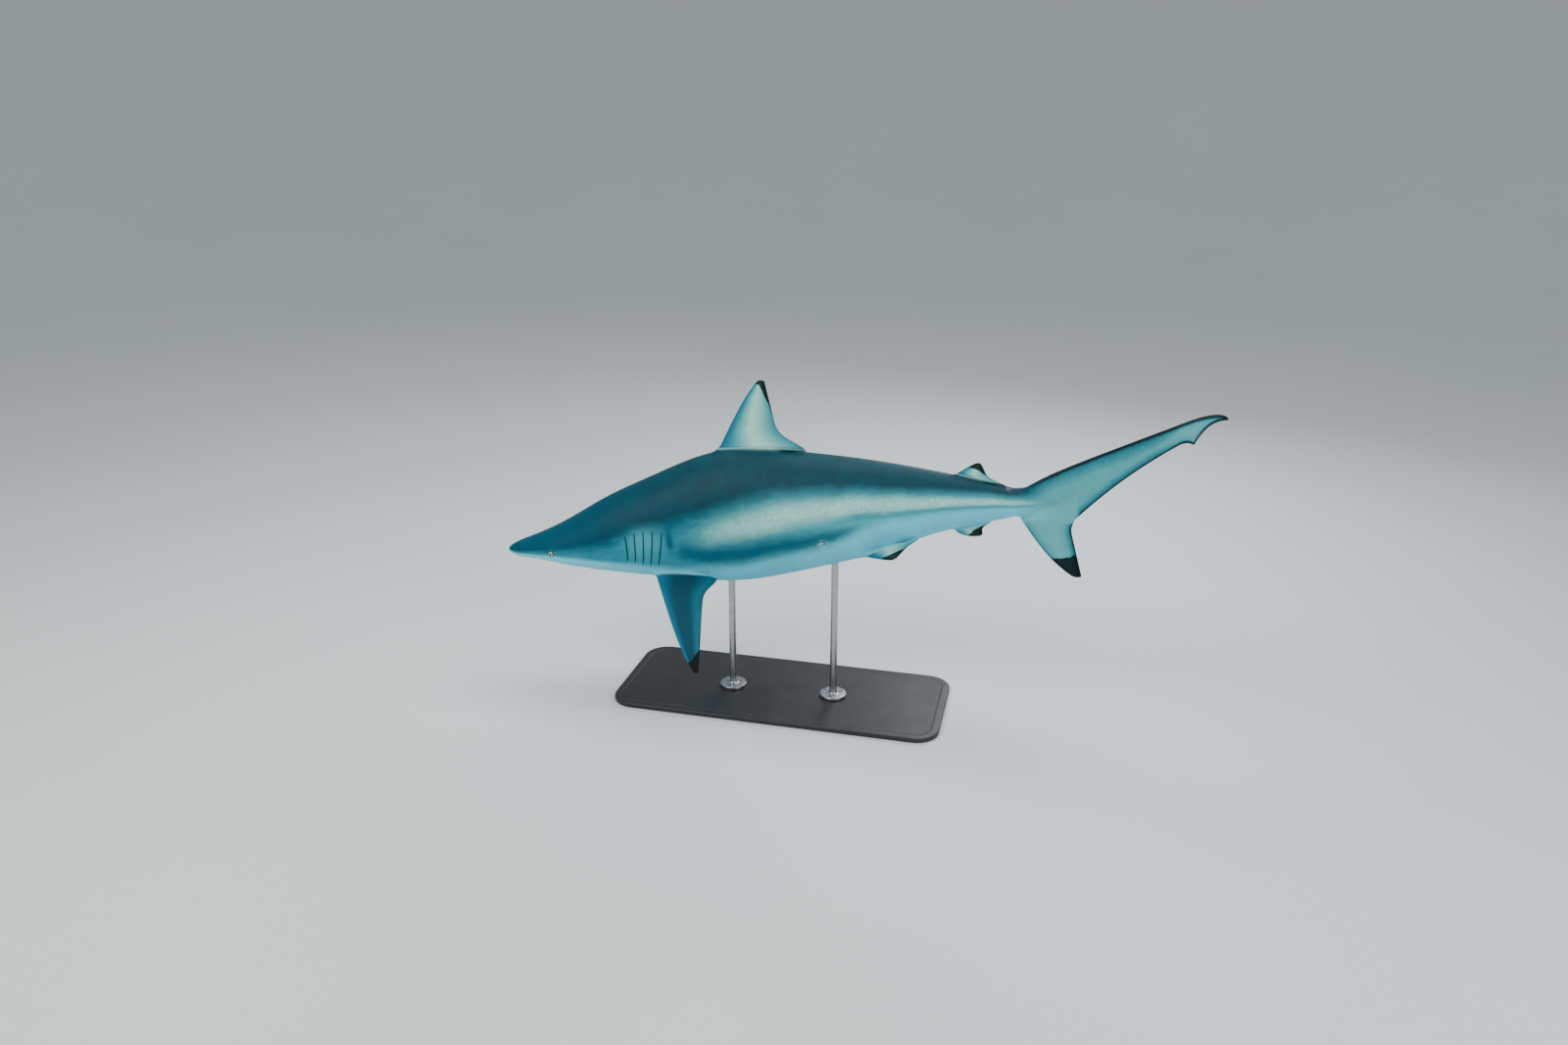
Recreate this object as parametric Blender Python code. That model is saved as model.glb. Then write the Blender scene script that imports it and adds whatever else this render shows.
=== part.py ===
"""Life-size still model of a blacktip shark on a plain display stand.

Metres, +Z up. The head points to -X, the left side faces -Y and the stand rests on z = 0.
The shark is shaped in its own straight axes, in body lengths: place along the body from the
snout, side (right is plus) and height. settle() then bends the axes into the swimming curve,
pitches them nose down and sets them above the stand.
"""

import math

import bmesh
import bpy
import numpy as np
from mathutils import Vector

LENGTH = 1.80  # snout to tail tip, with the tail stretched out
PIVOT_PLACE = 0.40  # the point of the body that stays above the middle of the stand
PIVOT_HEIGHT = 0.50
PITCH = math.radians(10)  # nose down
GAP = 0.0003 / LENGTH  # clearance between touching pieces, in body lengths
EDGE = 0.0010 / LENGTH  # thickness left at the rim of a fin, in body lengths

# Swimming curve: heading of the head and of the tail toward the left side, and where the bend lies
HEAD_TURN = math.radians(-9)
TAIL_TURN = math.radians(18)
BEND = (0.15, 0.85)

# Head and trunk: place, half width, back, belly, widest line, squareness above and below
BODY = (
    (0.000, 0.0000, -0.0020, -0.0020, -0.0020, 2.0, 2.0),
    (0.006, 0.0105, 0.0040, -0.0080, -0.0025, 2.0, 2.1),
    (0.020, 0.0215, 0.0085, -0.0130, -0.0035, 2.0, 2.3),
    (0.045, 0.0325, 0.0140, -0.0165, -0.0050, 2.0, 2.5),
    (0.075, 0.0415, 0.0225, -0.0260, -0.0075, 2.0, 2.6),
    (0.110, 0.0480, 0.0355, -0.0375, -0.0100, 1.9, 2.6),
    (0.160, 0.0555, 0.0550, -0.0515, -0.0125, 1.9, 2.5),
    (0.230, 0.0625, 0.0755, -0.0700, -0.0135, 1.9, 2.2),
    (0.340, 0.0660, 0.0965, -0.0885, -0.0105, 1.9, 2.1),
    (0.440, 0.0600, 0.0815, -0.0795, -0.0060, 1.9, 2.1),
    (0.520, 0.0480, 0.0650, -0.0660, -0.0025, 2.0, 2.1),
    (0.610, 0.0325, 0.0450, -0.0405, -0.0005, 2.0, 2.0),
    (0.700, 0.0190, 0.0235, -0.0220, 0.0000, 2.0, 2.0),
    (0.720, 0.0170, 0.0185, -0.0180, 0.0000, 2.0, 2.0),
)

# Upper tail lobe: its corners, each a place and a height
TAIL_PIT = (0.737, 0.019)  # where the upper edge leaves the tail stock
TAIL_FORK = (0.794, -0.024)  # where the rear edges of the two lobes meet
TAIL_NOTCH = (0.930, 0.073)  # before the small lobe at the end
TAIL_CORNER = (0.945, 0.072)  # lower corner of that small lobe
TAIL_TIP = (0.984, 0.101)
TAIL_RISE = math.radians(20)  # of the upper edge
PIT_SOFTNESS = 0.002  # how gently the upper edge turns up at the pit
SHOULDER = (0.007, 0.030)  # extra rise behind the pit, and the length over which it comes
TIP_LENGTH = 0.065  # over which the upper edge rounds down to the tip
REAR_BOW = 0.006  # how far the rear edge bows below the notch
NOTCH_DEPTH = 0.002
END_CURVE = 2.2  # how suddenly the small lobe's lower edge turns up from its corner
# Flesh round the backbone in the lobe
CORE_REACH = (0.018, 0.005, 0.012)  # up and down: at the stock, at the tip, and extra midway
CORE_RISE = 0.15  # how much of that reach lies above the upper edge
CORE_FADE = 0.12  # length over which its half thickness falls to about a third

# Where the body is parted
CAUDAL_START = 0.720
BODY_LENGTHS = {  # start, end, number of cross-sections
    "head": (0.0, 0.245, 18),
    "trunk_front": (0.245, 0.430, 9),
    "trunk_rear": (0.430, 0.600, 9),
    "tail_stock": (0.600, CAUDAL_START, 8),
}
BODY_SIDES = 28
TAIL_SIDES = 18
FIN_SIDES = 16
HEAD_FIRST = 0.04  # where the first cross-section lies, before crowding
HEAD_CROWDING = 1.6  # how much closer the head's cross-sections lie toward the snout
LOBE_PARTING = -0.0195  # height of the line between the two tail lobes
BLADE_THICKNESS = 0.0012  # half thickness of the upper tail lobe away from the backbone
BLADE_START = 0.04  # length over which the tail stock flattens into the lobe
CORE_ROUNDNESS = (0.5, 1.1)  # of the flesh round the backbone: at the tail stock, and in the lobe
FREE_STEP = 0.0004  # how abruptly a fin's free rear tip begins
HOOK_POWER = 5  # how late along a fin its front edge hooks over
# Thickness of a round-nosed section along its chord: a square root, then powers 1 to 4
FIN_SECTION = (2.969, -1.26, -3.516, 2.843, -1.036)


def natural_spline(points):
    """Return the smooth curve through the points, each (place, value)."""
    places, values = np.array(points, float).T
    steps = np.diff(places)
    slopes = np.diff(values) / steps
    matrix = np.eye(len(places))
    target = np.zeros(len(places))
    for i in range(1, len(places) - 1):
        matrix[i, i - 1:i + 2] = steps[i - 1], 2 * (steps[i - 1] + steps[i]), steps[i]
        target[i] = 6 * (slopes[i] - slopes[i - 1])
    bends = np.linalg.solve(matrix, target)

    def curve(place):
        place = np.clip(place, places[0], places[-1])
        i = np.clip(np.searchsorted(places, place) - 1, 0, len(steps) - 1)
        along = place - places[i]
        slope = slopes[i] - steps[i] * (2 * bends[i] + bends[i + 1]) / 6
        cubic = (bends[i + 1] - bends[i]) / (6 * steps[i])
        return values[i] + along * (slope + along * (bends[i] / 2 + along * cubic))

    return curve


def ease(value, start, end):
    """Rise smoothly from 0 at start to 1 at end."""
    t = np.clip((value - start) / (end - start), 0.0, 1.0)
    return t * t * (3.0 - 2.0 * t)


def make_spine(steps=800):
    """Tabulate the spine's plan: places, x, y and heading."""
    places = np.linspace(0.0, 1.0, steps + 1)
    heading = HEAD_TURN + (TAIL_TURN - HEAD_TURN) * ease(places, *BEND)
    middles = (heading[1:] + heading[:-1]) / 2
    x = np.concatenate(([0.0], np.cumsum(np.cos(middles)))) / steps
    y = np.concatenate(([0.0], np.cumsum(-np.sin(middles)))) / steps
    return places, x, y, heading


SPINE = make_spine()
# The snout is blunt, so these run smoothly against the square root of the place
BODY_CURVES = [natural_spline([(math.sqrt(row[0]), row[column]) for row in BODY]) for column in range(1, 7)]


def settle(points):
    """Turn points in the shark's own axes into world points."""
    place, side, height = np.asarray(points, float).T
    places, spine_x, spine_y, heading = SPINE
    turn = np.interp(place, places, heading)
    x = np.interp(place, places, spine_x) + side * np.sin(turn)
    y = np.interp(place, places, spine_y) + side * np.cos(turn)
    x = x - np.interp(PIVOT_PLACE, places, spine_x)
    y = y - np.interp(PIVOT_PLACE, places, spine_y)
    world_x = x * math.cos(PITCH) - height * math.sin(PITCH)
    world_z = x * math.sin(PITCH) + height * math.cos(PITCH)
    return np.column_stack((world_x, y, world_z + PIVOT_HEIGHT / LENGTH)) * LENGTH


def body_ring(place, count, grow=0.0):
    """Cross-section of the head or trunk: points from the back round the right side."""
    width, back, belly, middle, above, below = (curve(math.sqrt(place)) for curve in BODY_CURVES)
    angle = np.arange(count) * 2 * math.pi / count
    power = np.where(np.cos(angle) > 0, 2 / above, 2 / below)
    reach = np.where(np.cos(angle) > 0, back - middle, middle - belly) + grow
    side = (width + grow) * np.sign(np.sin(angle)) * np.abs(np.sin(angle)) ** power
    height = middle + reach * np.sign(np.cos(angle)) * np.abs(np.cos(angle)) ** power
    return np.column_stack((np.full(count, place), side, height))


def upper_edge(place):
    """Height of the tail's upper edge: level with the stock as far as the pit, then along the lobe."""
    stock = BODY_CURVES[1](np.sqrt(place))
    run = np.maximum(place - TAIL_PIT[0], -SHOULDER[1])
    lobe = TAIL_PIT[1] + run * math.tan(TAIL_RISE) + SHOULDER[0] * (1 - np.exp(-run / SHOULDER[1]))
    edge = (stock + lobe + np.hypot(stock - lobe, PIT_SOFTNESS)) / 2
    closing = np.clip((place - TAIL_TIP[0]) / TIP_LENGTH + 1, 0.0, 1.0)
    return TAIL_TIP[1] + (edge - TAIL_TIP[1]) * np.sqrt(1 - closing ** 2)


def between(place, start, end):
    """How far a place lies from one corner of the tail to another, 0 to 1."""
    return np.clip((place - start[0]) / (end[0] - start[0]), 0.0, 1.0)


def tail_bottom(place):
    """Height of its lower edge: the root of the lower lobe, the rear edge, the notch and the small lobe."""
    stock = BODY_CURVES[2](np.sqrt(place))
    root = stock + (TAIL_FORK[1] - stock) * between(place, TAIL_PIT, TAIL_FORK)
    risen = between(place, TAIL_FORK, TAIL_NOTCH)
    rear = TAIL_FORK[1] + (TAIL_NOTCH[1] - TAIL_FORK[1]) * risen + 4 * REAR_BOW * risen * (1 - risen)
    crossed = between(place, TAIL_NOTCH, TAIL_CORNER)
    notch = TAIL_NOTCH[1] + (TAIL_CORNER[1] - TAIL_NOTCH[1]) * crossed
    notch = notch + NOTCH_DEPTH * np.sin(math.pi * crossed)
    left = 1 - between(place, TAIL_CORNER, TAIL_TIP)
    end = TAIL_TIP[1] - (TAIL_TIP[1] - TAIL_CORNER[1]) * left ** END_CURVE
    behind = np.where(place < TAIL_CORNER[0], notch, end)
    return np.where(place < TAIL_FORK[0], root, np.where(place < TAIL_NOTCH[0], rear, behind))


def tail_core(place):
    """Height, reach up and down and half thickness of the flesh round the backbone."""
    along = between(place, (CAUDAL_START,), TAIL_TIP)
    reach = CORE_REACH[0] * (1 - along) + CORE_REACH[1] * along + CORE_REACH[2] * np.sin(math.pi * along)
    risen = CORE_RISE * ease(place, CAUDAL_START, CAUDAL_START + BLADE_START)
    width = BODY[-1][1] * np.exp((CAUDAL_START - place) / CORE_FADE)
    return upper_edge(place) - reach * (1 - risen), reach, width


def tail_ring(place, count, grow=0.0):
    """Cross-section of the upper tail lobe: a thick core in a thin blade."""
    top = upper_edge(place)
    bottom = tail_bottom(place)
    core_height, core_reach, core_width = tail_core(place)
    angle = np.arange(count) * 2 * math.pi / count
    height = (top + bottom) / 2 + ((top - bottom) / 2 + grow) * np.cos(angle)
    blade = ease(place, CAUDAL_START, CAUDAL_START + BLADE_START)
    hump = np.clip(1 - ((height - core_height) / (core_reach + grow)) ** 2, 0.0, 1.0)
    hump = hump ** (CORE_ROUNDNESS[0] * (1 - blade) + CORE_ROUNDNESS[1] * blade)
    rim = blade * (BLADE_THICKNESS * np.abs(np.sin(angle)) + EDGE / 2)
    side = np.sign(np.round(np.sin(angle), 6)) * (core_width * hump + rim + grow)
    return np.column_stack((np.full(count, place), side, height))


def front_edge(fin, outward):
    """Place along the base of a fin's front edge: straight and swept back, hooked near the tip."""
    hooked = fin["hook"] * np.clip(outward / fin["tip"], 0.0, 1.0) ** HOOK_POWER
    return fin["nose"] + outward * math.tan(math.radians(fin["sweep"])) + hooked


def rear_edge(fin, outward):
    """Place along the base of its rear edge: straight, flaring out to the free rear tip at the root."""
    flared = fin["reach"] * np.exp(-((outward - fin["free"]) / fin["flare"]) ** 2)
    return fin["rear"] + outward * math.tan(math.radians(fin["lean"])) + flared


def fin_rings(fin, count=FIN_SIDES):
    """Cross-sections of a fin in its own axes: along the base, out from the body, across."""
    free = fin["free"]
    tip = fin["tip"]
    outward = free + (tip - free) * np.sin(np.linspace(0.0, 1.0, fin["levels"]) * math.pi / 2)
    half = count // 2
    chord = (1 - np.cos(np.arange(half + 1) * math.pi / half)) / 2
    shape = FIN_SECTION[0] * np.sqrt(chord)
    shape += sum(factor * chord ** (power + 1) for power, factor in enumerate(FIN_SECTION[1:]))
    rings = []
    for level in np.concatenate(([fin["root"], free - FREE_STEP], outward)):
        front = front_edge(fin, level)
        rear = fin["insertion"] if level < free else rear_edge(fin, level)
        risen = ease(level, fin["root"], tip)
        thickness = fin["thick"][0] * (1 - risen) + fin["thick"][1] * risen
        across = np.maximum(thickness * shape / 2, EDGE / 2) * (chord > 0)
        along = front + (rear - front) * chord
        right = np.column_stack((along, np.full(half + 1, level), across))
        left = right[half - 1:0:-1] * (1, 1, -1)
        tail = right[half:half + 1] * (1, 1, -1)
        rings.append(np.vstack((right, tail, left)))
    return rings


def median_fin_points(fin, ring):
    """Set a fin of the back or belly in the shark's own axes."""
    place, height = fin["base"]
    tilt = math.radians(fin["tilt"])
    along, outward, across = ring.T
    outward = outward * fin["side"]
    return np.column_stack((place + along * math.cos(tilt) - outward * math.sin(tilt), across,
                            height + along * math.sin(tilt) + outward * math.cos(tilt)))


def paired_fin_points(fin, ring, hand):
    """Set a pectoral or pelvic fin in the shark's own axes; hand is 1 on the right, -1 on the left."""
    place, side, height = fin["base"]
    droop, tilt, toe = (math.radians(fin[key]) for key in ("droop", "tilt", "toe"))
    along, outward, across = ring.T
    across = across - fin["curl"] * outward ** 2
    out = outward * math.cos(droop) + across * math.sin(droop)
    up = across * math.cos(droop) - outward * math.sin(droop)
    rearward = along * math.cos(toe) * math.cos(tilt)
    return np.column_stack((place + rearward, hand * (side + out + along * math.sin(toe)),
                            height + up + along * math.sin(tilt)))


# Fins. Lengths are in body lengths, angles in degrees. A fin's front edge starts at nose, sweeps back
# and hooks over at the tip; its rear edge starts at rear, leans, and flares by reach at the free rear tip.
MEDIAN_FINS = {
    "first_dorsal_fin": {
        "base": (0.328, 0.097), "tilt": -8, "side": 1, "root": -0.024, "tip": 0.098, "levels": 11,
        "nose": -0.003, "sweep": 28, "hook": 0.008, "rear": 0.086, "lean": -12, "free": 0.002, "reach": 0.034,
        "flare": 0.017,
        "insertion": 0.088, "thick": (0.0150, 0.0022)},
    "second_dorsal_fin": {
        "base": (0.647, 0.0385), "tilt": -16, "side": 1, "root": -0.014, "tip": 0.023, "levels": 8,
        "nose": -0.001, "sweep": 47, "hook": 0.002, "rear": 0.046, "lean": -35, "free": 0.001, "reach": 0.023,
        "flare": 0.004,
        "insertion": 0.042, "thick": (0.0080, 0.0020)},
    "anal_fin": {
        "base": (0.629, -0.0345), "tilt": 11, "side": -1, "root": -0.014, "tip": 0.0185, "levels": 8,
        "nose": 0.001, "sweep": 43, "hook": 0.014, "rear": 0.044, "lean": -10, "free": 0.001, "reach": 0.016,
        "flare": 0.005,
        "insertion": 0.040, "thick": (0.0080, 0.0020)},
    "lower_tail_lobe": {
        "base": (0.714, 0.0), "tilt": 0, "side": -1, "root": 0.004, "tip": 0.099, "levels": 11,
        "nose": 0.0, "sweep": 29, "hook": 0.018, "rear": 0.071, "lean": 7, "free": 0.022, "reach": 0.007,
        "flare": 0.009,
        "insertion": 0.082, "thick": (0.0105, 0.0022)},
}
PAIRED_FINS = {
    "pectoral_fin": {
        "base": (0.215, 0.045, -0.053), "droop": 37, "tilt": -3, "toe": 3, "curl": 0.35,
        "root": -0.018, "tip": 0.152, "levels": 12,
        "nose": 0.0, "sweep": 17, "hook": 0.010, "rear": 0.070, "lean": -3, "free": 0.013, "reach": 0.018,
        "flare": 0.016,
        "insertion": 0.060, "thick": (0.0130, 0.0024)},
    "pelvic_fin": {
        "base": (0.511, 0.024, -0.062), "droop": 8, "tilt": 15, "toe": -4, "curl": 0.0,
        "root": -0.012, "tip": 0.043, "levels": 8,
        "nose": 0.0, "sweep": 48, "hook": 0.004, "rear": 0.074, "lean": -20, "free": 0.004, "reach": 0.0095,
        "flare": 0.010,
        "insertion": 0.050, "thick": (0.0100, 0.0022)},
}

# Gill slits: place of the upper end, height of both ends, lean of the lower end toward the snout
GILL_SLITS = [(0.185 + 0.0135 * i, 0.014 - 0.001 * (i - 2) ** 2, -0.026 - 0.003 * i, 0.003 + 0.003 * i)
              for i in range(5)]
GILL_DEPTH = 0.0040
GILL_WIDTH = 0.0012

EYE_PLACE = 0.0735
EYE_HEIGHT = -0.0065
EYE_RADIUS = 0.0120 / LENGTH
EYE_PROUD = 0.0020 / LENGTH

# Closed mouth, seen from below: place of the chin and of the corners, and half width there
MOUTH_FRONT = 0.070
MOUTH_CORNER = 0.118
MOUTH_HALF_WIDTH = 0.0400
JAW_END = 0.150
BELOW_BODY = -0.09
MOUTH_LINE_CORNER = -0.0235
MOUTH_LINE_FRONT = -0.0240

STAND_BASE_SIZE = (0.84, 0.34, 0.012)
STAND_CORNER = 0.06
STAND_RIM = 0.002
ROD_SIDES = 18
ROD_RADIUS = 0.009
FLANGE_RADIUS = 0.034
FLANGE_HEIGHT = 0.008
FLANGE_RIM = 0.002
ROD_PLACES = {"stand_rod_front": 0.325, "stand_rod_rear": 0.475}

SKIN_GREY = (0.10, 0.16, 0.18, 1.0)
SKIN_PALE = (0.42, 0.52, 0.52, 1.0)
EYE_DARK = (0.02, 0.03, 0.03, 1.0)
STAND_BLACK = (0.03, 0.03, 0.035, 1.0)
STAND_STEEL = (0.55, 0.56, 0.58, 1.0)


def clear_scene():
    for item in list(bpy.data.objects):
        bpy.data.objects.remove(item, do_unlink=True)


def make_material(name, colour, roughness, metallic=0.0):
    material = bpy.data.materials.new(name)
    material.use_nodes = True
    shader = material.node_tree.nodes["Principled BSDF"]
    shader.inputs["Base Color"].default_value = colour
    shader.inputs["Roughness"].default_value = roughness
    shader.inputs["Metallic"].default_value = metallic
    material.diffuse_color = colour
    return material


def add_object(name, mesh, material):
    shape = bpy.data.objects.new(name, mesh)
    bpy.context.scene.collection.objects.link(shape)
    mesh.materials.append(material)
    return shape


def loft(name, rings, material, tip=None):
    """Close a skin over rings of equal count, optionally from a single tip point."""
    grid = bmesh.new()
    rows = [[grid.verts.new(Vector(point)) for point in ring] for ring in rings]
    count = len(rows[0])
    for near, far in zip(rows, rows[1:]):
        for i in range(count):
            j = (i + 1) % count
            grid.faces.new((near[i], near[j], far[j]))
            grid.faces.new((near[i], far[j], far[i]))
    if tip is None:
        close_end(grid, rows[0])
    else:
        point = grid.verts.new(Vector(tip))
        for i in range(count):
            grid.faces.new((point, rows[0][i], rows[0][(i + 1) % count]))
    close_end(grid, rows[-1])
    bmesh.ops.recalc_face_normals(grid, faces=grid.faces)
    mesh = bpy.data.meshes.new(name)
    grid.to_mesh(mesh)
    grid.free()
    return add_object(name, mesh, material)


def close_end(grid, ring):
    """Cap a ring with strips from one side to the other."""
    last = len(ring) - 1
    grid.faces.new((ring[0], ring[1], ring[last]))
    for i in range(1, len(ring) // 2):
        lower = last - i
        if lower == i + 1:
            grid.faces.new((ring[i], ring[i + 1], ring[last - i + 1]))
        else:
            grid.faces.new((ring[i], ring[i + 1], ring[lower], ring[lower + 1]))


def combine(target, cutter, operation, keep_cutter=False):
    """Apply a Boolean to the target's own mesh."""
    modifier = target.modifiers.new("combine", "BOOLEAN")
    modifier.operation = operation
    modifier.solver = "EXACT"
    modifier.object = cutter
    evaluated = target.evaluated_get(bpy.context.evaluated_depsgraph_get())
    result = bpy.data.meshes.new_from_object(evaluated)
    target.modifiers.clear()
    target.data = result
    if not keep_cutter:
        bpy.data.objects.remove(cutter, do_unlink=True)


def smooth_shade(shape, limit=math.radians(35)):
    shape.data.shade_smooth()
    shape.data.set_sharp_from_angle(angle=limit)


def spread(start, end, count):
    return np.linspace(start, end, count)


def body_places(part):
    """Where the cross-sections of a length of the body lie; the head's crowd toward the snout."""
    start, end, count = BODY_LENGTHS[part]
    if start == 0:
        return (end - GAP / 2) * spread(HEAD_FIRST, 1.0, count) ** HEAD_CROWDING
    return spread(start + GAP / 2, end - GAP / 2, count)


def make_body_length(part, material):
    rings = [settle(body_ring(place, BODY_SIDES)) for place in body_places(part)]
    snout = settle([(0.0, 0.0, BODY[0][2])])[0]
    return loft(part, rings, material, tip=snout if part == "head" else None)


def make_body_cutter(material):
    """The whole body, swollen by the gap, to trim what meets it."""
    places = np.concatenate([body_places(part) for part in BODY_LENGTHS])
    rings = [settle(body_ring(place, BODY_SIDES, GAP)) for place in places]
    return loft("body_cutter", rings, material, tip=settle([(-GAP, 0.0, BODY[0][2])])[0])


def make_caudal_fin(skin):
    """The two tail lobes as one shape, parted along a level line."""
    notch = TAIL_NOTCH[0]
    places = np.concatenate((spread(CAUDAL_START - 0.005, 0.79, 8), spread(0.80, notch - 0.004, 6),
                             spread(notch + 0.002, TAIL_TIP[0] - 0.0005, 11)))
    upper = loft("upper_tail_lobe", [settle(tail_ring(place, TAIL_SIDES)) for place in places], skin)
    lower = make_median_fin("lower_tail_lobe", skin)
    combine(upper, lower, "UNION")
    lower = upper.copy()
    lower.data = upper.data.copy()
    lower.name = "lower_tail_lobe"
    bpy.context.scene.collection.objects.link(lower)
    combine(upper, lobe_half("above", LOBE_PARTING + GAP / 2, 0.12, skin), "INTERSECT")
    combine(lower, lobe_half("below", -0.12, LOBE_PARTING - GAP / 2, skin), "INTERSECT")
    return upper, lower


def lobe_half(name, bottom, top, material):
    """The space above or below the parting of the tail lobes, behind the tail stock."""
    half_width = 0.05
    corners = ((half_width, top), (half_width, bottom), (-half_width, bottom), (-half_width, top))
    places = spread(CAUDAL_START + GAP / 2, 1.0, 13)
    rings = [settle([(place, side, height) for side, height in corners]) for place in places]
    return loft(name, rings, material)


def make_median_fin(name, material):
    fin = MEDIAN_FINS[name]
    rings = [settle(median_fin_points(fin, ring)) for ring in fin_rings(fin)]
    return loft(name, rings, material)


def make_paired_fin(name, hand, material):
    """A fin that keeps its shape: its points follow the body's axes at its base, without bending."""
    fin = PAIRED_FINS[name]
    label = f"{name}_{'right' if hand > 0 else 'left'}"
    rings = [settle_rigid(paired_fin_points(fin, ring, hand), fin["base"][0]) for ring in fin_rings(fin)]
    return loft(label, rings, material)


def settle_rigid(points, place):
    """Turn points into world points with the straight axes that the body has at one place."""
    centre, ahead, right, above = settle([(place, 0, 0), (place + 0.001, 0, 0), (place, 0.001, 0),
                                          (place, 0, 0.001)])
    axes = np.array([ahead - centre, right - centre, above - centre])
    axes = axes / np.linalg.norm(axes, axis=1)[:, None]
    offsets = (np.asarray(points) - (place, 0, 0)) * LENGTH
    return centre + offsets @ axes


def cut_gill_slits(head, material):
    """Cut the five slits on each side a little way into the skin."""
    for hand in (1, -1):
        for place, top, bottom, lean in GILL_SLITS:
            rings = []
            for height in spread(top, bottom, 5):
                shift = place - lean * (top - height) / (top - bottom)
                surface = side_at(shift, height)
                taper = math.sqrt(max(0.0, 1 - abs(2 * (top - height) / (top - bottom) - 1) ** 3))
                half = GILL_WIDTH * (0.3 + 0.7 * taper) / 2
                inner = surface - GILL_DEPTH * (0.2 + 0.8 * taper)
                outer = surface + GILL_DEPTH
                corners = ((shift - half, inner), (shift + half, inner), (shift + half, outer),
                           (shift - half, outer))
                rings.append(settle([(x, hand * side, height) for x, side in corners]))
            combine(head, loft("gill_cutter", rings, material), "DIFFERENCE")


def side_at(place, height):
    """Half width of the body at a height."""
    width, back, belly, middle, above, below = (curve(math.sqrt(place)) for curve in BODY_CURVES)
    power = above if height > middle else below
    reach = back - middle if height > middle else middle - belly
    return width * max(0.0, 1 - abs((height - middle) / reach) ** power) ** (1 / power)


def jaw_half(name, grow, material):
    """The space that the lower jaw fills: an arch in plan, below the line of the mouth."""
    outline = []
    for angle in spread(-90, 90, 15):
        place = MOUTH_CORNER - (MOUTH_CORNER - MOUTH_FRONT + grow) * math.cos(math.radians(angle))
        outline.append((place, (MOUTH_HALF_WIDTH + grow) * math.sin(math.radians(angle))))
    outline.append((JAW_END + grow, MOUTH_HALF_WIDTH + grow))
    outline.insert(0, (JAW_END + grow, -MOUTH_HALF_WIDTH - grow))
    rings = []
    for raised in (False, True):
        ring = []
        for place, side in outline:
            line = MOUTH_LINE_FRONT + (MOUTH_LINE_CORNER - MOUTH_LINE_FRONT) * abs(side) / MOUTH_HALF_WIDTH
            ring.append((place, side, line + grow if raised else BELOW_BODY))
        rings.append(settle(ring))
    return loft_prism(name, rings, material)


def loft_prism(name, rings, material):
    """A prism between two like outlines."""
    grid = bmesh.new()
    bottom, top = [[grid.verts.new(Vector(point)) for point in ring] for ring in rings]
    count = len(bottom)
    for i in range(count):
        j = (i + 1) % count
        grid.faces.new((bottom[i], bottom[j], top[j], top[i]))
    grid.faces.new(bottom)
    grid.faces.new(top)
    bmesh.ops.recalc_face_normals(grid, faces=grid.faces)
    mesh = bpy.data.meshes.new(name)
    grid.to_mesh(mesh)
    grid.free()
    return add_object(name, mesh, material)


def part_lower_jaw(head, skin):
    jaw = head.copy()
    jaw.data = head.data.copy()
    jaw.name = "lower_jaw"
    bpy.context.scene.collection.objects.link(jaw)
    combine(jaw, jaw_half("jaw_space", 0.0, skin), "INTERSECT")
    combine(head, jaw_half("jaw_gap", GAP, skin), "DIFFERENCE")
    return jaw


def make_eye(hand, grow, material):
    side = side_at(EYE_PLACE, EYE_HEIGHT) + EYE_PROUD - EYE_RADIUS
    centre = settle([(EYE_PLACE, hand * side, EYE_HEIGHT)])[0]
    ball = bmesh.new()
    bmesh.ops.create_uvsphere(ball, u_segments=14, v_segments=8, radius=(EYE_RADIUS + grow) * LENGTH)
    bmesh.ops.translate(ball, verts=ball.verts, vec=Vector(centre))
    name = f"eye_{'right' if hand > 0 else 'left'}"
    mesh = bpy.data.meshes.new(name)
    ball.to_mesh(mesh)
    ball.free()
    return add_object(name, mesh, material)


def fit_eyes(head, skin, eye_material):
    eyes = []
    for hand in (1, -1):
        combine(head, make_eye(hand, GAP, skin), "DIFFERENCE")
        eyes.append(make_eye(hand, 0.0, eye_material))
    return eyes


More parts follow.
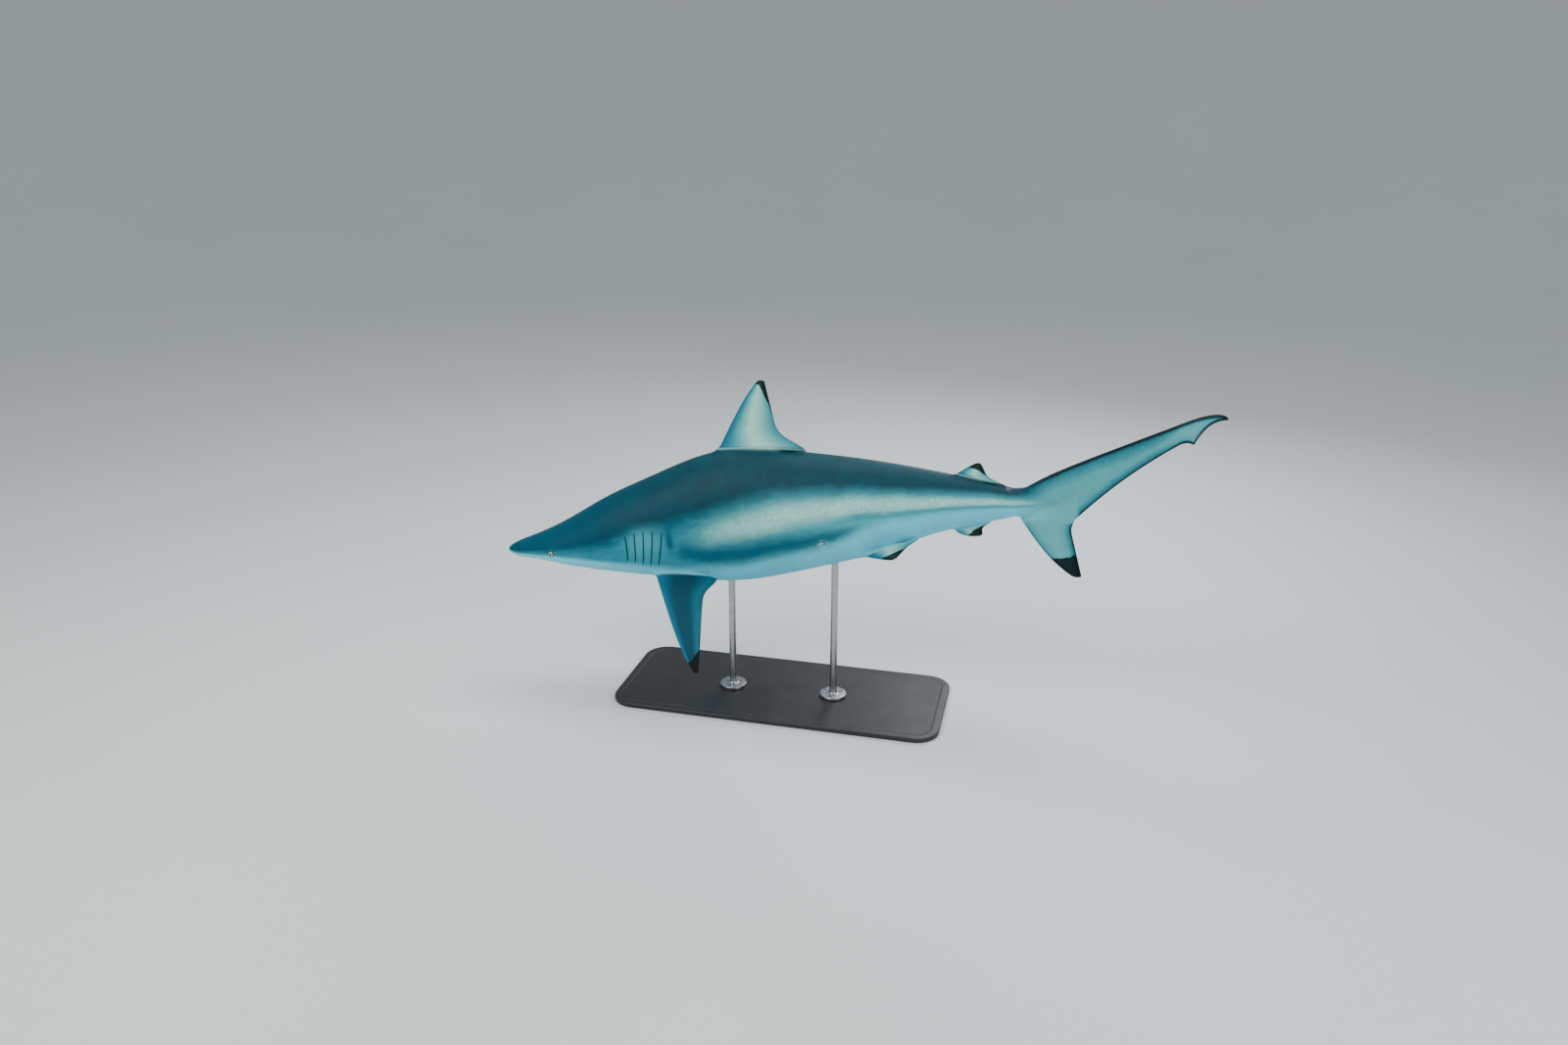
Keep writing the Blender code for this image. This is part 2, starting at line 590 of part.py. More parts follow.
def make_stand(body_cutter, black, steel):
    """A flat base and two upright rods with flanged feet, trimmed to the belly."""
    length, width, height = STAND_BASE_SIZE
    base = bmesh.new()
    bmesh.ops.create_cube(base, size=1.0)
    bmesh.ops.scale(base, verts=base.verts, vec=(length, width, height))
    bmesh.ops.translate(base, verts=base.verts, vec=(0, 0, height / 2))
    uprights = [edge for edge in base.edges if abs(edge.verts[0].co.z - edge.verts[1].co.z) > height / 2]
    bmesh.ops.bevel(base, geom=uprights, offset=STAND_CORNER, segments=7, profile=0.5, affect="EDGES")
    rim = [edge for edge in base.edges if min(vert.co.z for vert in edge.verts) > height * 0.99]
    bmesh.ops.bevel(base, geom=rim, offset=STAND_RIM, segments=2, profile=0.5, affect="EDGES")
    mesh = bpy.data.meshes.new("stand_base")
    base.to_mesh(mesh)
    base.free()
    pieces = [add_object("stand_base", mesh, black)]
    for name, place in ROD_PLACES.items():
        x, y, belly = settle([(place, 0.0, 0.0)])[0]
        profile = ((FLANGE_RADIUS - FLANGE_RIM, 0.0), (FLANGE_RADIUS, FLANGE_RIM),
                   (FLANGE_RADIUS, FLANGE_HEIGHT - FLANGE_RIM), (FLANGE_RADIUS - FLANGE_RIM, FLANGE_HEIGHT),
                   (ROD_RADIUS + 2 * FLANGE_RIM, FLANGE_HEIGHT),
                   (ROD_RADIUS + FLANGE_RIM / 2, FLANGE_HEIGHT + FLANGE_RIM),
                   (ROD_RADIUS, FLANGE_HEIGHT + 3 * FLANGE_RIM), (ROD_RADIUS, belly - height))
        floor = height + GAP * LENGTH
        turns = np.arange(ROD_SIDES) * 2 * math.pi / ROD_SIDES
        rings = [np.column_stack((x + radius * np.cos(turns), y + radius * np.sin(turns),
                                  np.full(ROD_SIDES, floor + rise))) for radius, rise in profile]
        rod = loft(name, rings, steel)
        combine(rod, body_cutter, "DIFFERENCE", keep_cutter=True)
        pieces.append(rod)
    return pieces


def build():
    clear_scene()
    skin = make_material("shark_skin", SKIN_GREY, 0.5)
    pale = make_material("shark_fin_skin", SKIN_PALE, 0.5)
    eye_material = make_material("shark_eye", EYE_DARK, 0.1)
    black = make_material("stand_black", STAND_BLACK, 0.35)
    steel = make_material("stand_steel", STAND_STEEL, 0.3, metallic=1.0)
    body = {part: make_body_length(part, skin) for part in BODY_LENGTHS}
    cutter = make_body_cutter(skin)
    cut_gill_slits(body["head"], skin)
    eyes = fit_eyes(body["head"], skin, eye_material)
    jaw = part_lower_jaw(body["head"], skin)
    caudal = make_caudal_fin(pale)
    fins = [make_median_fin(name, pale) for name in ("first_dorsal_fin", "second_dorsal_fin", "anal_fin")]
    fins += [make_paired_fin(name, hand, pale) for name in PAIRED_FINS for hand in (1, -1)]
    for fin in fins:
        combine(fin, cutter, "DIFFERENCE", keep_cutter=True)
    stand = make_stand(cutter, black, steel)
    bpy.data.objects.remove(cutter, do_unlink=True)
    for shape in (*body.values(), jaw, *caudal, *fins, *eyes, *stand):
        smooth_shade(shape)


build()
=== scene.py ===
"""Looks of the life-size blacktip shark: one detailed skin, two eyes and a display stand.

Metres, +Z up. The shark is shaped in its own straight axes, in body lengths: place along the body
from the snout, side (right is plus) and height. settle() then bends those axes into the swimming
curve, pitches them nose down and sets them above the stand. Details are stated in millimetres.
"""

import math

import bmesh
import bpy
import numpy as np
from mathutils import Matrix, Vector
from mathutils.bvhtree import BVHTree

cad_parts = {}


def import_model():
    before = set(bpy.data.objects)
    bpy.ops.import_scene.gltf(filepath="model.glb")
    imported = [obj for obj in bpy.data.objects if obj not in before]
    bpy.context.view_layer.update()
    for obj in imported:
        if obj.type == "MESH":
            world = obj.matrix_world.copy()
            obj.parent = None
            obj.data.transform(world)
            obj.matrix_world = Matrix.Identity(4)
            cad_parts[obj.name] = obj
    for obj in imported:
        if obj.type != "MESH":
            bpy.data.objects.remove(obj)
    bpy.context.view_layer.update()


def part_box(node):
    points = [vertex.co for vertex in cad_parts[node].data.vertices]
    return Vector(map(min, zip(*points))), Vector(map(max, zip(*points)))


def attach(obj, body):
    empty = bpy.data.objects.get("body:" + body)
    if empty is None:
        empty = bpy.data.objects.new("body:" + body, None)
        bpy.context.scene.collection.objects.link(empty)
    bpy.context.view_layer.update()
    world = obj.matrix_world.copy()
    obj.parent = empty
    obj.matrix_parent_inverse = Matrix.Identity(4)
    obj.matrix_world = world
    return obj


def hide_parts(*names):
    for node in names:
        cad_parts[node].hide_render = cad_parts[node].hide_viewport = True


LENGTH = 1.80  # snout to tail tip, with the tail stretched out
MM = 0.001 / LENGTH  # one millimetre, in body lengths
PIVOT_PLACE = 0.40  # the point of the body that stays above the middle of the stand
PIVOT_HEIGHT = 0.50
PITCH = math.radians(10)  # nose down
EDGE = 1.0 * MM  # thickness left at the rim of a fin

# Swimming curve: heading of the head and of the tail toward the left side, and where the bend lies
HEAD_TURN = math.radians(-9)
TAIL_TURN = math.radians(18)
BEND = (0.15, 0.85)

# Head and trunk: place, half width, back, belly, widest line, squareness above and below
BODY = (
    (0.000, 0.0000, -0.0020, -0.0020, -0.0020, 2.0, 2.0),
    (0.006, 0.0105, 0.0040, -0.0080, -0.0025, 2.0, 2.1),
    (0.020, 0.0215, 0.0085, -0.0130, -0.0035, 2.0, 2.3),
    (0.045, 0.0325, 0.0140, -0.0165, -0.0050, 2.0, 2.5),
    (0.075, 0.0415, 0.0225, -0.0260, -0.0075, 2.0, 2.6),
    (0.110, 0.0480, 0.0355, -0.0375, -0.0100, 1.9, 2.6),
    (0.160, 0.0555, 0.0550, -0.0515, -0.0125, 1.9, 2.5),
    (0.230, 0.0625, 0.0755, -0.0700, -0.0135, 1.9, 2.2),
    (0.340, 0.0660, 0.0965, -0.0885, -0.0105, 1.9, 2.1),
    (0.440, 0.0600, 0.0815, -0.0795, -0.0060, 1.9, 2.1),
    (0.520, 0.0480, 0.0650, -0.0660, -0.0025, 2.0, 2.1),
    (0.610, 0.0325, 0.0450, -0.0405, -0.0005, 2.0, 2.0),
    (0.700, 0.0190, 0.0235, -0.0220, 0.0000, 2.0, 2.0),
    (0.720, 0.0170, 0.0185, -0.0180, 0.0000, 2.0, 2.0),
)

# Upper tail lobe: its corners, each a place and a height
TAIL_PIT = (0.737, 0.019)  # where the upper edge leaves the tail stock
TAIL_FORK = (0.794, -0.024)  # where the rear edges of the two lobes meet
TAIL_NOTCH = (0.930, 0.073)  # before the small lobe at the end
TAIL_CORNER = (0.945, 0.072)  # lower corner of that small lobe
TAIL_TIP = (0.984, 0.101)
TAIL_RISE = math.radians(20)  # of the upper edge
PIT_SOFTNESS = 0.002  # how gently the upper edge turns up at the pit
SHOULDER = (0.007, 0.030)  # extra rise behind the pit, and the length over which it comes
TIP_LENGTH = 0.065  # over which the upper edge rounds down to the tip
REAR_BOW = 0.006  # how far the rear edge bows below the notch
NOTCH_DEPTH = 0.002
END_CURVE = 2.2  # how suddenly the small lobe's lower edge turns up from its corner
# Flesh round the backbone in the lobe
CORE_REACH = (0.018, 0.005, 0.012)  # up and down: at the stock, at the tip, and extra midway
CORE_RISE = 0.15  # how much of that reach lies above the upper edge
CORE_FADE = 0.12  # length over which its half thickness falls to about a third
HEAD_END = 0.255
DEEPEST = 0.0012  # m, how far smoothing can push the skin into the fin or body that it covers
CAUDAL_START = 0.720
TAIL_END = 0.9838
BLADE_THICKNESS = 0.0012  # half thickness of the upper tail lobe away from the backbone
BLADE_START = 0.04  # length over which the tail stock flattens into the lobe
CORE_ROUNDNESS = (0.5, 1.1)  # of the flesh round the backbone: at the tail stock, and in the lobe
TIP_ROUNDING = 0.0022  # length over which a fin's tip closes
FREE_STEP = 0.0004  # how abruptly a fin's free rear tip begins
HOOK_POWER = 5  # how late along a fin its front edge hooks over
# Thickness of a round-nosed section along its chord: a square root, then powers 1 to 4
FIN_SECTION = (2.969, -1.26, -3.516, 2.843, -1.036)

# Fins. Lengths are in body lengths, angles in degrees. A fin's front edge starts at nose, sweeps back
# and hooks over at the tip; its rear edge starts at rear, leans, and flares by reach at the free rear tip.
# fillet is how far the root blends into the body, in mm.
# black: how far the black tip reaches down the front edge and down the rear edge, in mm.
MEDIAN_FINS = {
    "first_dorsal_fin": {
        "base": (0.328, 0.097), "tilt": -8, "side": 1, "root": -0.024, "tip": 0.098,
        "nose": -0.003, "sweep": 28, "hook": 0.008, "rear": 0.086, "lean": -12, "free": 0.002, "reach": 0.034,
        "flare": 0.017, "insertion": 0.088, "thick": (0.0150, 0.0022), "fillet": 20,
        "black": (10, 70), "slant": 4, "grid": (44, 52)},
    "second_dorsal_fin": {
        "base": (0.647, 0.0385), "tilt": -16, "side": 1, "root": -0.014, "tip": 0.023,
        "nose": -0.001, "sweep": 47, "hook": 0.002, "rear": 0.046, "lean": -35, "free": 0.001, "reach": 0.023,
        "flare": 0.004, "insertion": 0.042, "thick": (0.0080, 0.0020), "fillet": 9,
        "black": (16, 27), "grid": (22, 36)},
    "anal_fin": {
        "base": (0.629, -0.0345), "tilt": 11, "side": -1, "root": -0.014, "tip": 0.0185,
        "nose": 0.001, "sweep": 43, "hook": 0.014, "rear": 0.044, "lean": -10, "free": 0.001, "reach": 0.016,
        "flare": 0.005, "insertion": 0.040, "thick": (0.0080, 0.0020), "fillet": 9,
        "black": (9, 28), "slant": 2, "grid": (22, 36)},
    "lower_tail_lobe": {
        "base": (0.714, 0.0), "tilt": 0, "side": -1, "root": 0.004, "tip": 0.099,
        "nose": 0.0, "sweep": 29, "hook": 0.018, "rear": 0.071, "lean": 7, "free": 0.022, "reach": 0.007,
        "flare": 0.009, "insertion": 0.082, "faired_until": 0.050, "rim_start": 0.028,
        "thick": (0.0105, 0.0022), "fillet": 8, "black": (46, 56), "grid": (40, 44)},
}
PAIRED_FINS = {
    "pectoral_fin": {
        "base": (0.215, 0.045, -0.053), "droop": 37, "tilt": -3, "toe": 3, "curl": 0.35,
        "root": -0.018, "tip": 0.152,
        "nose": 0.0, "sweep": 17, "hook": 0.010, "rear": 0.070, "lean": -3, "free": 0.013, "reach": 0.018,
        "flare": 0.016, "insertion": 0.060, "margin_start": -0.004, "thick": (0.0130, 0.0024), "fillet": 16,
        "black": (28, 62), "slant": 2, "grid": (64, 48)},
    "pelvic_fin": {
        "base": (0.511, 0.024, -0.062), "droop": 8, "tilt": 15, "toe": -4, "curl": 0.0,
        "root": -0.012, "tip": 0.043,
        "nose": 0.0, "sweep": 48, "hook": 0.004, "rear": 0.074, "lean": -20, "free": 0.004, "reach": 0.0095,
        "flare": 0.010, "insertion": 0.050, "margin_start": -0.003, "thick": (0.0100, 0.0022), "fillet": 10,
        "black": (24, 42), "slant": 2, "grid": (26, 36)},
}

GILL_START, GILL_SPACING = 0.185, 0.0135  # place of the first slit's upper end, and on to the next
GILL_TOP, GILL_TOP_DROP = 0.014, 0.001  # height of the middle slit, and how it falls away either side
GILL_BOTTOM, GILL_BOTTOM_DROP = -0.026, -0.003
GILL_LEAN, GILL_LEAN_MORE = 0.003, 0.003
# Gill slits: place of the upper end, height of both ends, lean of the lower end toward the snout
GILL_SLITS = [(GILL_START + GILL_SPACING * i, GILL_TOP - GILL_TOP_DROP * (i - 2) ** 2,
               GILL_BOTTOM + GILL_BOTTOM_DROP * i, GILL_LEAN + GILL_LEAN_MORE * i) for i in range(5)]
GILL_DEPTH = 5.5  # mm, as the sizes below
GILL_BOW = 1.6
GILL_OVERLAP = 1.3

EYE_PLACE = 0.0735
EYE_HEIGHT = -0.0065
EYE_RADIUS = 12.0
EYE_PROUD = 2.0
EYE_OPENING = (10.0, 8.3)  # half length and half height
LID_THICKNESS = 0.7

# Closed mouth, seen from below: place of the chin and of the corners, and half width there
MOUTH_FRONT = 0.070
MOUTH_CORNER = 0.118
MOUTH_HALF_WIDTH = 0.0400
MOUTH_DEPTH = 4.5
# Nostril, seen from below: place and side of its outer and inner end
NOSTRIL = ((0.0385, 0.0258), (0.0452, 0.0176))
NOSTRIL_DEPTH = 4.5
NOSTRIL_WIDTH = 1.7
PIT_PLACES = (0.7165, 0.7185)  # the notches above and below the tail stock
PIT_DEPTH = 3.2

FLESH_NODES = ("head", "lower_jaw", "trunk_front", "trunk_rear", "tail_stock", "upper_tail_lobe",
               "lower_tail_lobe", "first_dorsal_fin", "second_dorsal_fin", "anal_fin",
               "pectoral_fin_left", "pectoral_fin_right", "pelvic_fin_left", "pelvic_fin_right")
REAR_RIM_START = 0.802  # place behind which the upper lobe's rear edge is black
REAR_RIM_WIDENS = (0.91, 0.94)
BLACK_TIP_START = 0.9785
SCAR = (0.838, -0.060)  # of the healed nick on the flank: metres from the snout, height

CORNEA_RISE = 0.5  # mm
PLATE_CORNER = 0.06
PLATE_RIM = 0.003
ROD_RADIUS = 0.009
FOOT_HEIGHT = 0.008
SCREW_CIRCLE = 0.0245

FLOOR_FLAT = 6.5  # m, radius of the level floor
FLOOR_CURVE = 8.5  # m, radius of the curve beyond it
CAMERA_PLACE = (0.663, -2.652, 1.469)
CAMERA_TARGET = (0.0201, -0.0720, 0.501)
CAMERA_LENS = 27  # mm
# Soft lights: name, place, target, width and height, watts, colour
LIGHTS = (("key", (-1.5, -2.2, 2.9), (-0.1, 0.0, 0.45), (2.2, 1.4), 85, (1.0, 0.98, 0.95)),
          ("fill", (2.6, -1.9, 1.5), (0.2, 0.0, 0.5), (1.8, 1.8), 38, (0.90, 0.96, 1.0)),
          ("top", (0.0, 0.5, 3.2), (0.0, 0.0, 0.5), (2.6, 1.2), 55, (0.97, 1.0, 1.0)),
          ("back", (0.8, 2.4, 2.0), (0.0, 0.0, 0.5), (1.6, 1.0), 40, (0.92, 0.97, 1.0)))


# ---------------------------------------------------------------- the shark's own shape


def natural_spline(points):
    """Return the smooth curve through the points, each (place, value)."""
    places, values = np.array(points, float).T
    steps = np.diff(places)
    slopes = np.diff(values) / steps
    matrix = np.eye(len(places))
    target = np.zeros(len(places))
    for i in range(1, len(places) - 1):
        matrix[i, i - 1:i + 2] = steps[i - 1], 2 * (steps[i - 1] + steps[i]), steps[i]
        target[i] = 6 * (slopes[i] - slopes[i - 1])
    bends = np.linalg.solve(matrix, target)

    def curve(place):
        place = np.clip(place, places[0], places[-1])
        i = np.clip(np.searchsorted(places, place) - 1, 0, len(steps) - 1)
        along = place - places[i]
        slope = slopes[i] - steps[i] * (2 * bends[i] + bends[i + 1]) / 6
        cubic = (bends[i + 1] - bends[i]) / (6 * steps[i])
        return values[i] + along * (slope + along * (bends[i] / 2 + along * cubic))

    return curve


def ease(value, start, end):
    """Rise smoothly from 0 at start to 1 at end."""
    t = np.clip((value - start) / (end - start), 0.0, 1.0)
    return t * t * (3.0 - 2.0 * t)


def bump(value, width):
    """A bell of height 1 round zero."""
    return np.exp(-(value / width) ** 2)


def make_spine(steps=800):
    """Tabulate the spine's plan: places, x, y and heading."""
    places = np.linspace(0.0, 1.0, steps + 1)
    heading = HEAD_TURN + (TAIL_TURN - HEAD_TURN) * ease(places, *BEND)
    middles = (heading[1:] + heading[:-1]) / 2
    x = np.concatenate(([0.0], np.cumsum(np.cos(middles)))) / steps
    y = np.concatenate(([0.0], np.cumsum(-np.sin(middles)))) / steps
    x = x - np.interp(PIVOT_PLACE, places, x)
    y = y - np.interp(PIVOT_PLACE, places, y)
    return places, x, y, heading


SPINE = make_spine()
# The snout is blunt, so these run smoothly against the square root of the place
BODY_CURVES = [natural_spline([(math.sqrt(row[0]), row[column]) for row in BODY]) for column in range(1, 7)]


def settle(points):
    """Turn points in the shark's own axes into world points."""
    place, side, height = np.asarray(points, float).T
    places, spine_x, spine_y, heading = SPINE
    turn = np.interp(place, places, heading)
    x = np.interp(place, places, spine_x) + side * np.sin(turn)
    y = np.interp(place, places, spine_y) + side * np.cos(turn)
    world_x = x * math.cos(PITCH) - height * math.sin(PITCH)
    world_z = x * math.sin(PITCH) + height * math.cos(PITCH)
    return np.column_stack((world_x, y, world_z + PIVOT_HEIGHT / LENGTH)) * LENGTH


def unsettle(points, rounds=8):
    """Turn world points back into the shark's own axes."""
    world_x, y, world_z = (np.asarray(points, float) / LENGTH).T
    world_z = world_z - PIVOT_HEIGHT / LENGTH
    x = world_x * math.cos(PITCH) + world_z * math.sin(PITCH)
    height = world_z * math.cos(PITCH) - world_x * math.sin(PITCH)
    places, spine_x, spine_y, heading = SPINE
    place = x + PIVOT_PLACE
    for _ in range(rounds):
        turn = np.interp(place, places, heading)
        off_x = x - np.interp(place, places, spine_x)
        off_y = y - np.interp(place, places, spine_y)
        place = np.clip(place + off_x * np.cos(turn) - off_y * np.sin(turn), 0.0, 1.0)
    side = off_x * np.sin(turn) + off_y * np.cos(turn)
    return np.column_stack((place, side, height))


def section(place):
    """Half width, back, belly, widest line and squareness above and below, at each place."""
    root = np.sqrt(np.clip(place, 0.0, CAUDAL_START))
    return [curve(root) for curve in BODY_CURVES]


def body_ring(place, count):
    """Cross-section of the head or trunk: points from the back round the right side."""
    width, back, belly, middle, above, below = section(place)
    angle = np.arange(count) * 2 * math.pi / count
    power = np.where(np.cos(angle) > 0, 2 / above, 2 / below)
    reach = np.where(np.cos(angle) > 0, back - middle, middle - belly)
    side = width * np.sign(np.sin(angle)) * np.abs(np.sin(angle)) ** power
    height = middle + reach * np.sign(np.cos(angle)) * np.abs(np.cos(angle)) ** power
    return np.column_stack((np.full(count, place), side, height))


def upper_edge(place):
    """Height of the tail's upper edge: level with the stock as far as the pit, then along the lobe."""
    stock = BODY_CURVES[1](np.sqrt(place))
    run = np.maximum(place - TAIL_PIT[0], -SHOULDER[1])
    lobe = TAIL_PIT[1] + run * math.tan(TAIL_RISE) + SHOULDER[0] * (1 - np.exp(-run / SHOULDER[1]))
    edge = (stock + lobe + np.hypot(stock - lobe, PIT_SOFTNESS)) / 2
    closing = np.clip((place - TAIL_TIP[0]) / TIP_LENGTH + 1, 0.0, 1.0)
    return TAIL_TIP[1] + (edge - TAIL_TIP[1]) * np.sqrt(1 - closing ** 2)


def between(place, start, end):
    """How far a place lies from one corner of the tail to another, 0 to 1."""
    return np.clip((place - start[0]) / (end[0] - start[0]), 0.0, 1.0)


def tail_bottom(place):
    """Height of its lower edge: the root of the lower lobe, the rear edge, the notch and the small lobe."""
    stock = BODY_CURVES[2](np.sqrt(place))
    root = stock + (TAIL_FORK[1] - stock) * between(place, TAIL_PIT, TAIL_FORK)
    risen = between(place, TAIL_FORK, TAIL_NOTCH)
    rear = TAIL_FORK[1] + (TAIL_NOTCH[1] - TAIL_FORK[1]) * risen + 4 * REAR_BOW * risen * (1 - risen)
    crossed = between(place, TAIL_NOTCH, TAIL_CORNER)
    notch = TAIL_NOTCH[1] + (TAIL_CORNER[1] - TAIL_NOTCH[1]) * crossed
    notch = notch + NOTCH_DEPTH * np.sin(math.pi * crossed)
    left = 1 - between(place, TAIL_CORNER, TAIL_TIP)
    end = TAIL_TIP[1] - (TAIL_TIP[1] - TAIL_CORNER[1]) * left ** END_CURVE
    behind = np.where(place < TAIL_CORNER[0], notch, end)
    return np.where(place < TAIL_FORK[0], root, np.where(place < TAIL_NOTCH[0], rear, behind))


def tail_core(place):
    """Height, reach up and down and half thickness of the flesh round the backbone."""
    along = between(place, (CAUDAL_START,), TAIL_TIP)
    reach = CORE_REACH[0] * (1 - along) + CORE_REACH[1] * along + CORE_REACH[2] * np.sin(math.pi * along)
    risen = CORE_RISE * ease(place, CAUDAL_START, CAUDAL_START + BLADE_START)
    width = BODY[-1][1] * np.exp((CAUDAL_START - place) / CORE_FADE)
    return upper_edge(place) - reach * (1 - risen), reach, width


def tail_ring(place, count):
    """Cross-section of the upper tail lobe: a thick core in a thin blade."""
    top = upper_edge(place)
    bottom = tail_bottom(place)
    core_height, core_reach, core_width = tail_core(place)
    angle = np.arange(count) * 2 * math.pi / count
    height = (top + bottom) / 2 + (top - bottom) / 2 * np.cos(angle)
    blade = ease(place, CAUDAL_START, CAUDAL_START + BLADE_START)
    hump = np.clip(1 - ((height - core_height) / core_reach) ** 2, 0.0, 1.0)
    hump = hump ** (CORE_ROUNDNESS[0] * (1 - blade) + CORE_ROUNDNESS[1] * blade)
    rim = blade * (BLADE_THICKNESS * np.abs(np.sin(angle)) + EDGE / 2)
    side = np.sign(np.round(np.sin(angle), 6)) * (core_width * hump + rim)
    return np.column_stack((np.full(count, place), side, height))


def front_edge(fin, outward):
    """Place along the base of a fin's front edge: straight and swept back, hooked near the tip."""
    hooked = fin["hook"] * np.clip(outward / fin["tip"], 0.0, 1.0) ** HOOK_POWER
    return fin["nose"] + outward * math.tan(math.radians(fin["sweep"])) + hooked


def rear_edge(fin, outward):
    """Place along the base of its rear edge: straight, flaring out to the free rear tip at the root."""
    flared = fin["reach"] * np.exp(-((outward - fin["free"]) / fin["flare"]) ** 2)
    return fin["rear"] + outward * math.tan(math.radians(fin["lean"])) + flared


def fin_rings(fin):
    """Cross-sections of a fin in its own axes: along the base, out from the body, across."""
    levels, count = fin["grid"]
    free = fin["free"]
    tip = fin["tip"]
    spaced = np.linspace(0.0, 1.0, levels)
    outward = free + (tip - free) * (0.45 * np.sin(spaced * math.pi / 2) + 0.55 * ease(spaced, 0.0, 1.0))
    margin_start = fin.get("margin_start", free - FREE_STEP)
    depth = (free - fin["root"]) / MM
    buried = np.linspace(fin["root"], free, int(depth / 2.2) + 3)[:-1]
    half = count // 2
    chord = (1 - np.cos(np.arange(half + 1) * math.pi / half)) / 2
    shape = FIN_SECTION[0] * np.sqrt(chord)
    shape += sum(factor * chord ** (power + 1) for power, factor in enumerate(FIN_SECTION[1:]))
    rings = []
    for level in np.concatenate((buried, outward)):
        front = front_edge(fin, level)
        inner = np.clip((level - margin_start) / (free - margin_start), 0.0, 1.0)
        rear = fin["insertion"] + (rear_edge(fin, free) - fin["insertion"]) * inner ** 1.6
        rear = rear if level < free else rear_edge(fin, level)
        closing = max((level - tip) / TIP_ROUNDING + 1, 0.0)
        narrowed = math.sqrt(max(1 - closing ** 2, 0.0025))
        front, rear = (0.5 * (front + rear) + side * 0.5 * (rear - front) * narrowed for side in (-1, 1))
        risen = ease(level, fin["root"], tip)
        thickness = fin["thick"][0] * (1 - risen) + fin["thick"][1] * risen
        across = np.maximum(thickness * shape / 2, EDGE / 2) * (chord > 0) * narrowed
        along = front + (rear - front) * chord
        right = np.column_stack((along, np.full(half + 1, level), across))
        left = right[half - 1:0:-1] * (1, 1, -1)
        tail = right[half:half + 1] * (1, 1, -1)
        rings.append(np.vstack((right, tail, left)))
    return rings


def median_fin_points(fin, ring):
    """Set a fin of the back or belly in the shark's own axes."""
    place, height = fin["base"]
    tilt = math.radians(fin["tilt"])
    along, outward, across = ring.T
    outward = outward * fin["side"]
    return np.column_stack((place + along * math.cos(tilt) - outward * math.sin(tilt), across,
                            height + along * math.sin(tilt) + outward * math.cos(tilt)))


def median_fin_axes(fin, points):
    """The reverse of median_fin_points."""
    place, height = fin["base"]
    tilt = math.radians(fin["tilt"])
    ahead = points[:, 0] - place
    above = points[:, 2] - height
    along = ahead * math.cos(tilt) + above * math.sin(tilt)
    outward = fin["side"] * (above * math.cos(tilt) - ahead * math.sin(tilt))
    return np.column_stack((along, outward, points[:, 1]))


def paired_fin_points(fin, ring, hand):
    """Set a pectoral or pelvic fin in the shark's own axes; hand is 1 on the right, -1 on the left."""
    place, side, height = fin["base"]
    droop, tilt, toe = (math.radians(fin[key]) for key in ("droop", "tilt", "toe"))
    along, outward, across = ring.T
    across = across - fin["curl"] * outward ** 2
    out = outward * math.cos(droop) + across * math.sin(droop)
    up = across * math.cos(droop) - outward * math.sin(droop)
    rearward = along * math.cos(toe) * math.cos(tilt)
    return np.column_stack((place + rearward, hand * (side + out + along * math.sin(toe)),
                            height + up + along * math.sin(tilt)))


def paired_fin_axes(fin, points, hand):
    """The reverse of paired_fin_points."""
    place, side, height = fin["base"]
    droop, tilt, toe = (math.radians(fin[key]) for key in ("droop", "tilt", "toe"))
    along = (points[:, 0] - place) / (math.cos(toe) * math.cos(tilt))
    out = hand * points[:, 1] - side - along * math.sin(toe)
    up = points[:, 2] - height - along * math.sin(tilt)
    outward = out * math.cos(droop) - up * math.sin(droop)
    across = out * math.sin(droop) + up * math.cos(droop) + fin["curl"] * outward ** 2
    return np.column_stack((along, outward, across))


def rigid_axes(place):
    """Where the straight axes that the body has at one place lie in the world: centre and axes."""
    centre, ahead, right, above = settle([(place, 0, 0), (place + 0.001, 0, 0), (place, 0.001, 0),
                                          (place, 0, 0.001)])
    axes = np.array([ahead - centre, right - centre, above - centre])
    return centre, axes / np.linalg.norm(axes, axis=1)[:, None]


def settle_rigid(points, place):
    centre, axes = rigid_axes(place)
    return centre + (np.asarray(points) - (place, 0, 0)) * LENGTH @ axes


def unsettle_rigid(points, place):
    centre, axes = rigid_axes(place)
    return (np.asarray(points) - centre) @ axes.T / LENGTH + (place, 0, 0)


def quadrant(place, height):
    """Half width, rise over the widest line, and reach and squareness on that side of it."""
    width, back, belly, middle, above, below = section(place)
    rise = height - middle
    return width, rise, np.where(rise > 0, back - middle, middle - belly), np.where(rise > 0, above, below)


def side_at(place, height):
    """Half width of the body at a height."""
    width, rise, reach, power = quadrant(place, height)
    return width * np.clip(1 - np.abs(rise / reach) ** power, 0.0, 1.0) ** (1 / power)


def body_level(points):
    """How far out a point lies: 1 on the body's smooth surface, more outside it."""
    width, rise, reach, power = quadrant(points[:, 0], points[:, 2])
    return (np.abs(points[:, 1] / width) ** power + np.abs(rise / reach) ** power) ** (1 / power)


def girth_at(points):
    """How far round the body a point lies, in degrees: 0 at the back, 90 at the widest line."""
    width, rise, reach, _ = quadrant(points[:, 0], points[:, 2])
    return np.degrees(np.arctan2(np.abs(points[:, 1]) / np.maximum(width, MM), rise / reach))


# ---------------------------------------------------------------- meshes


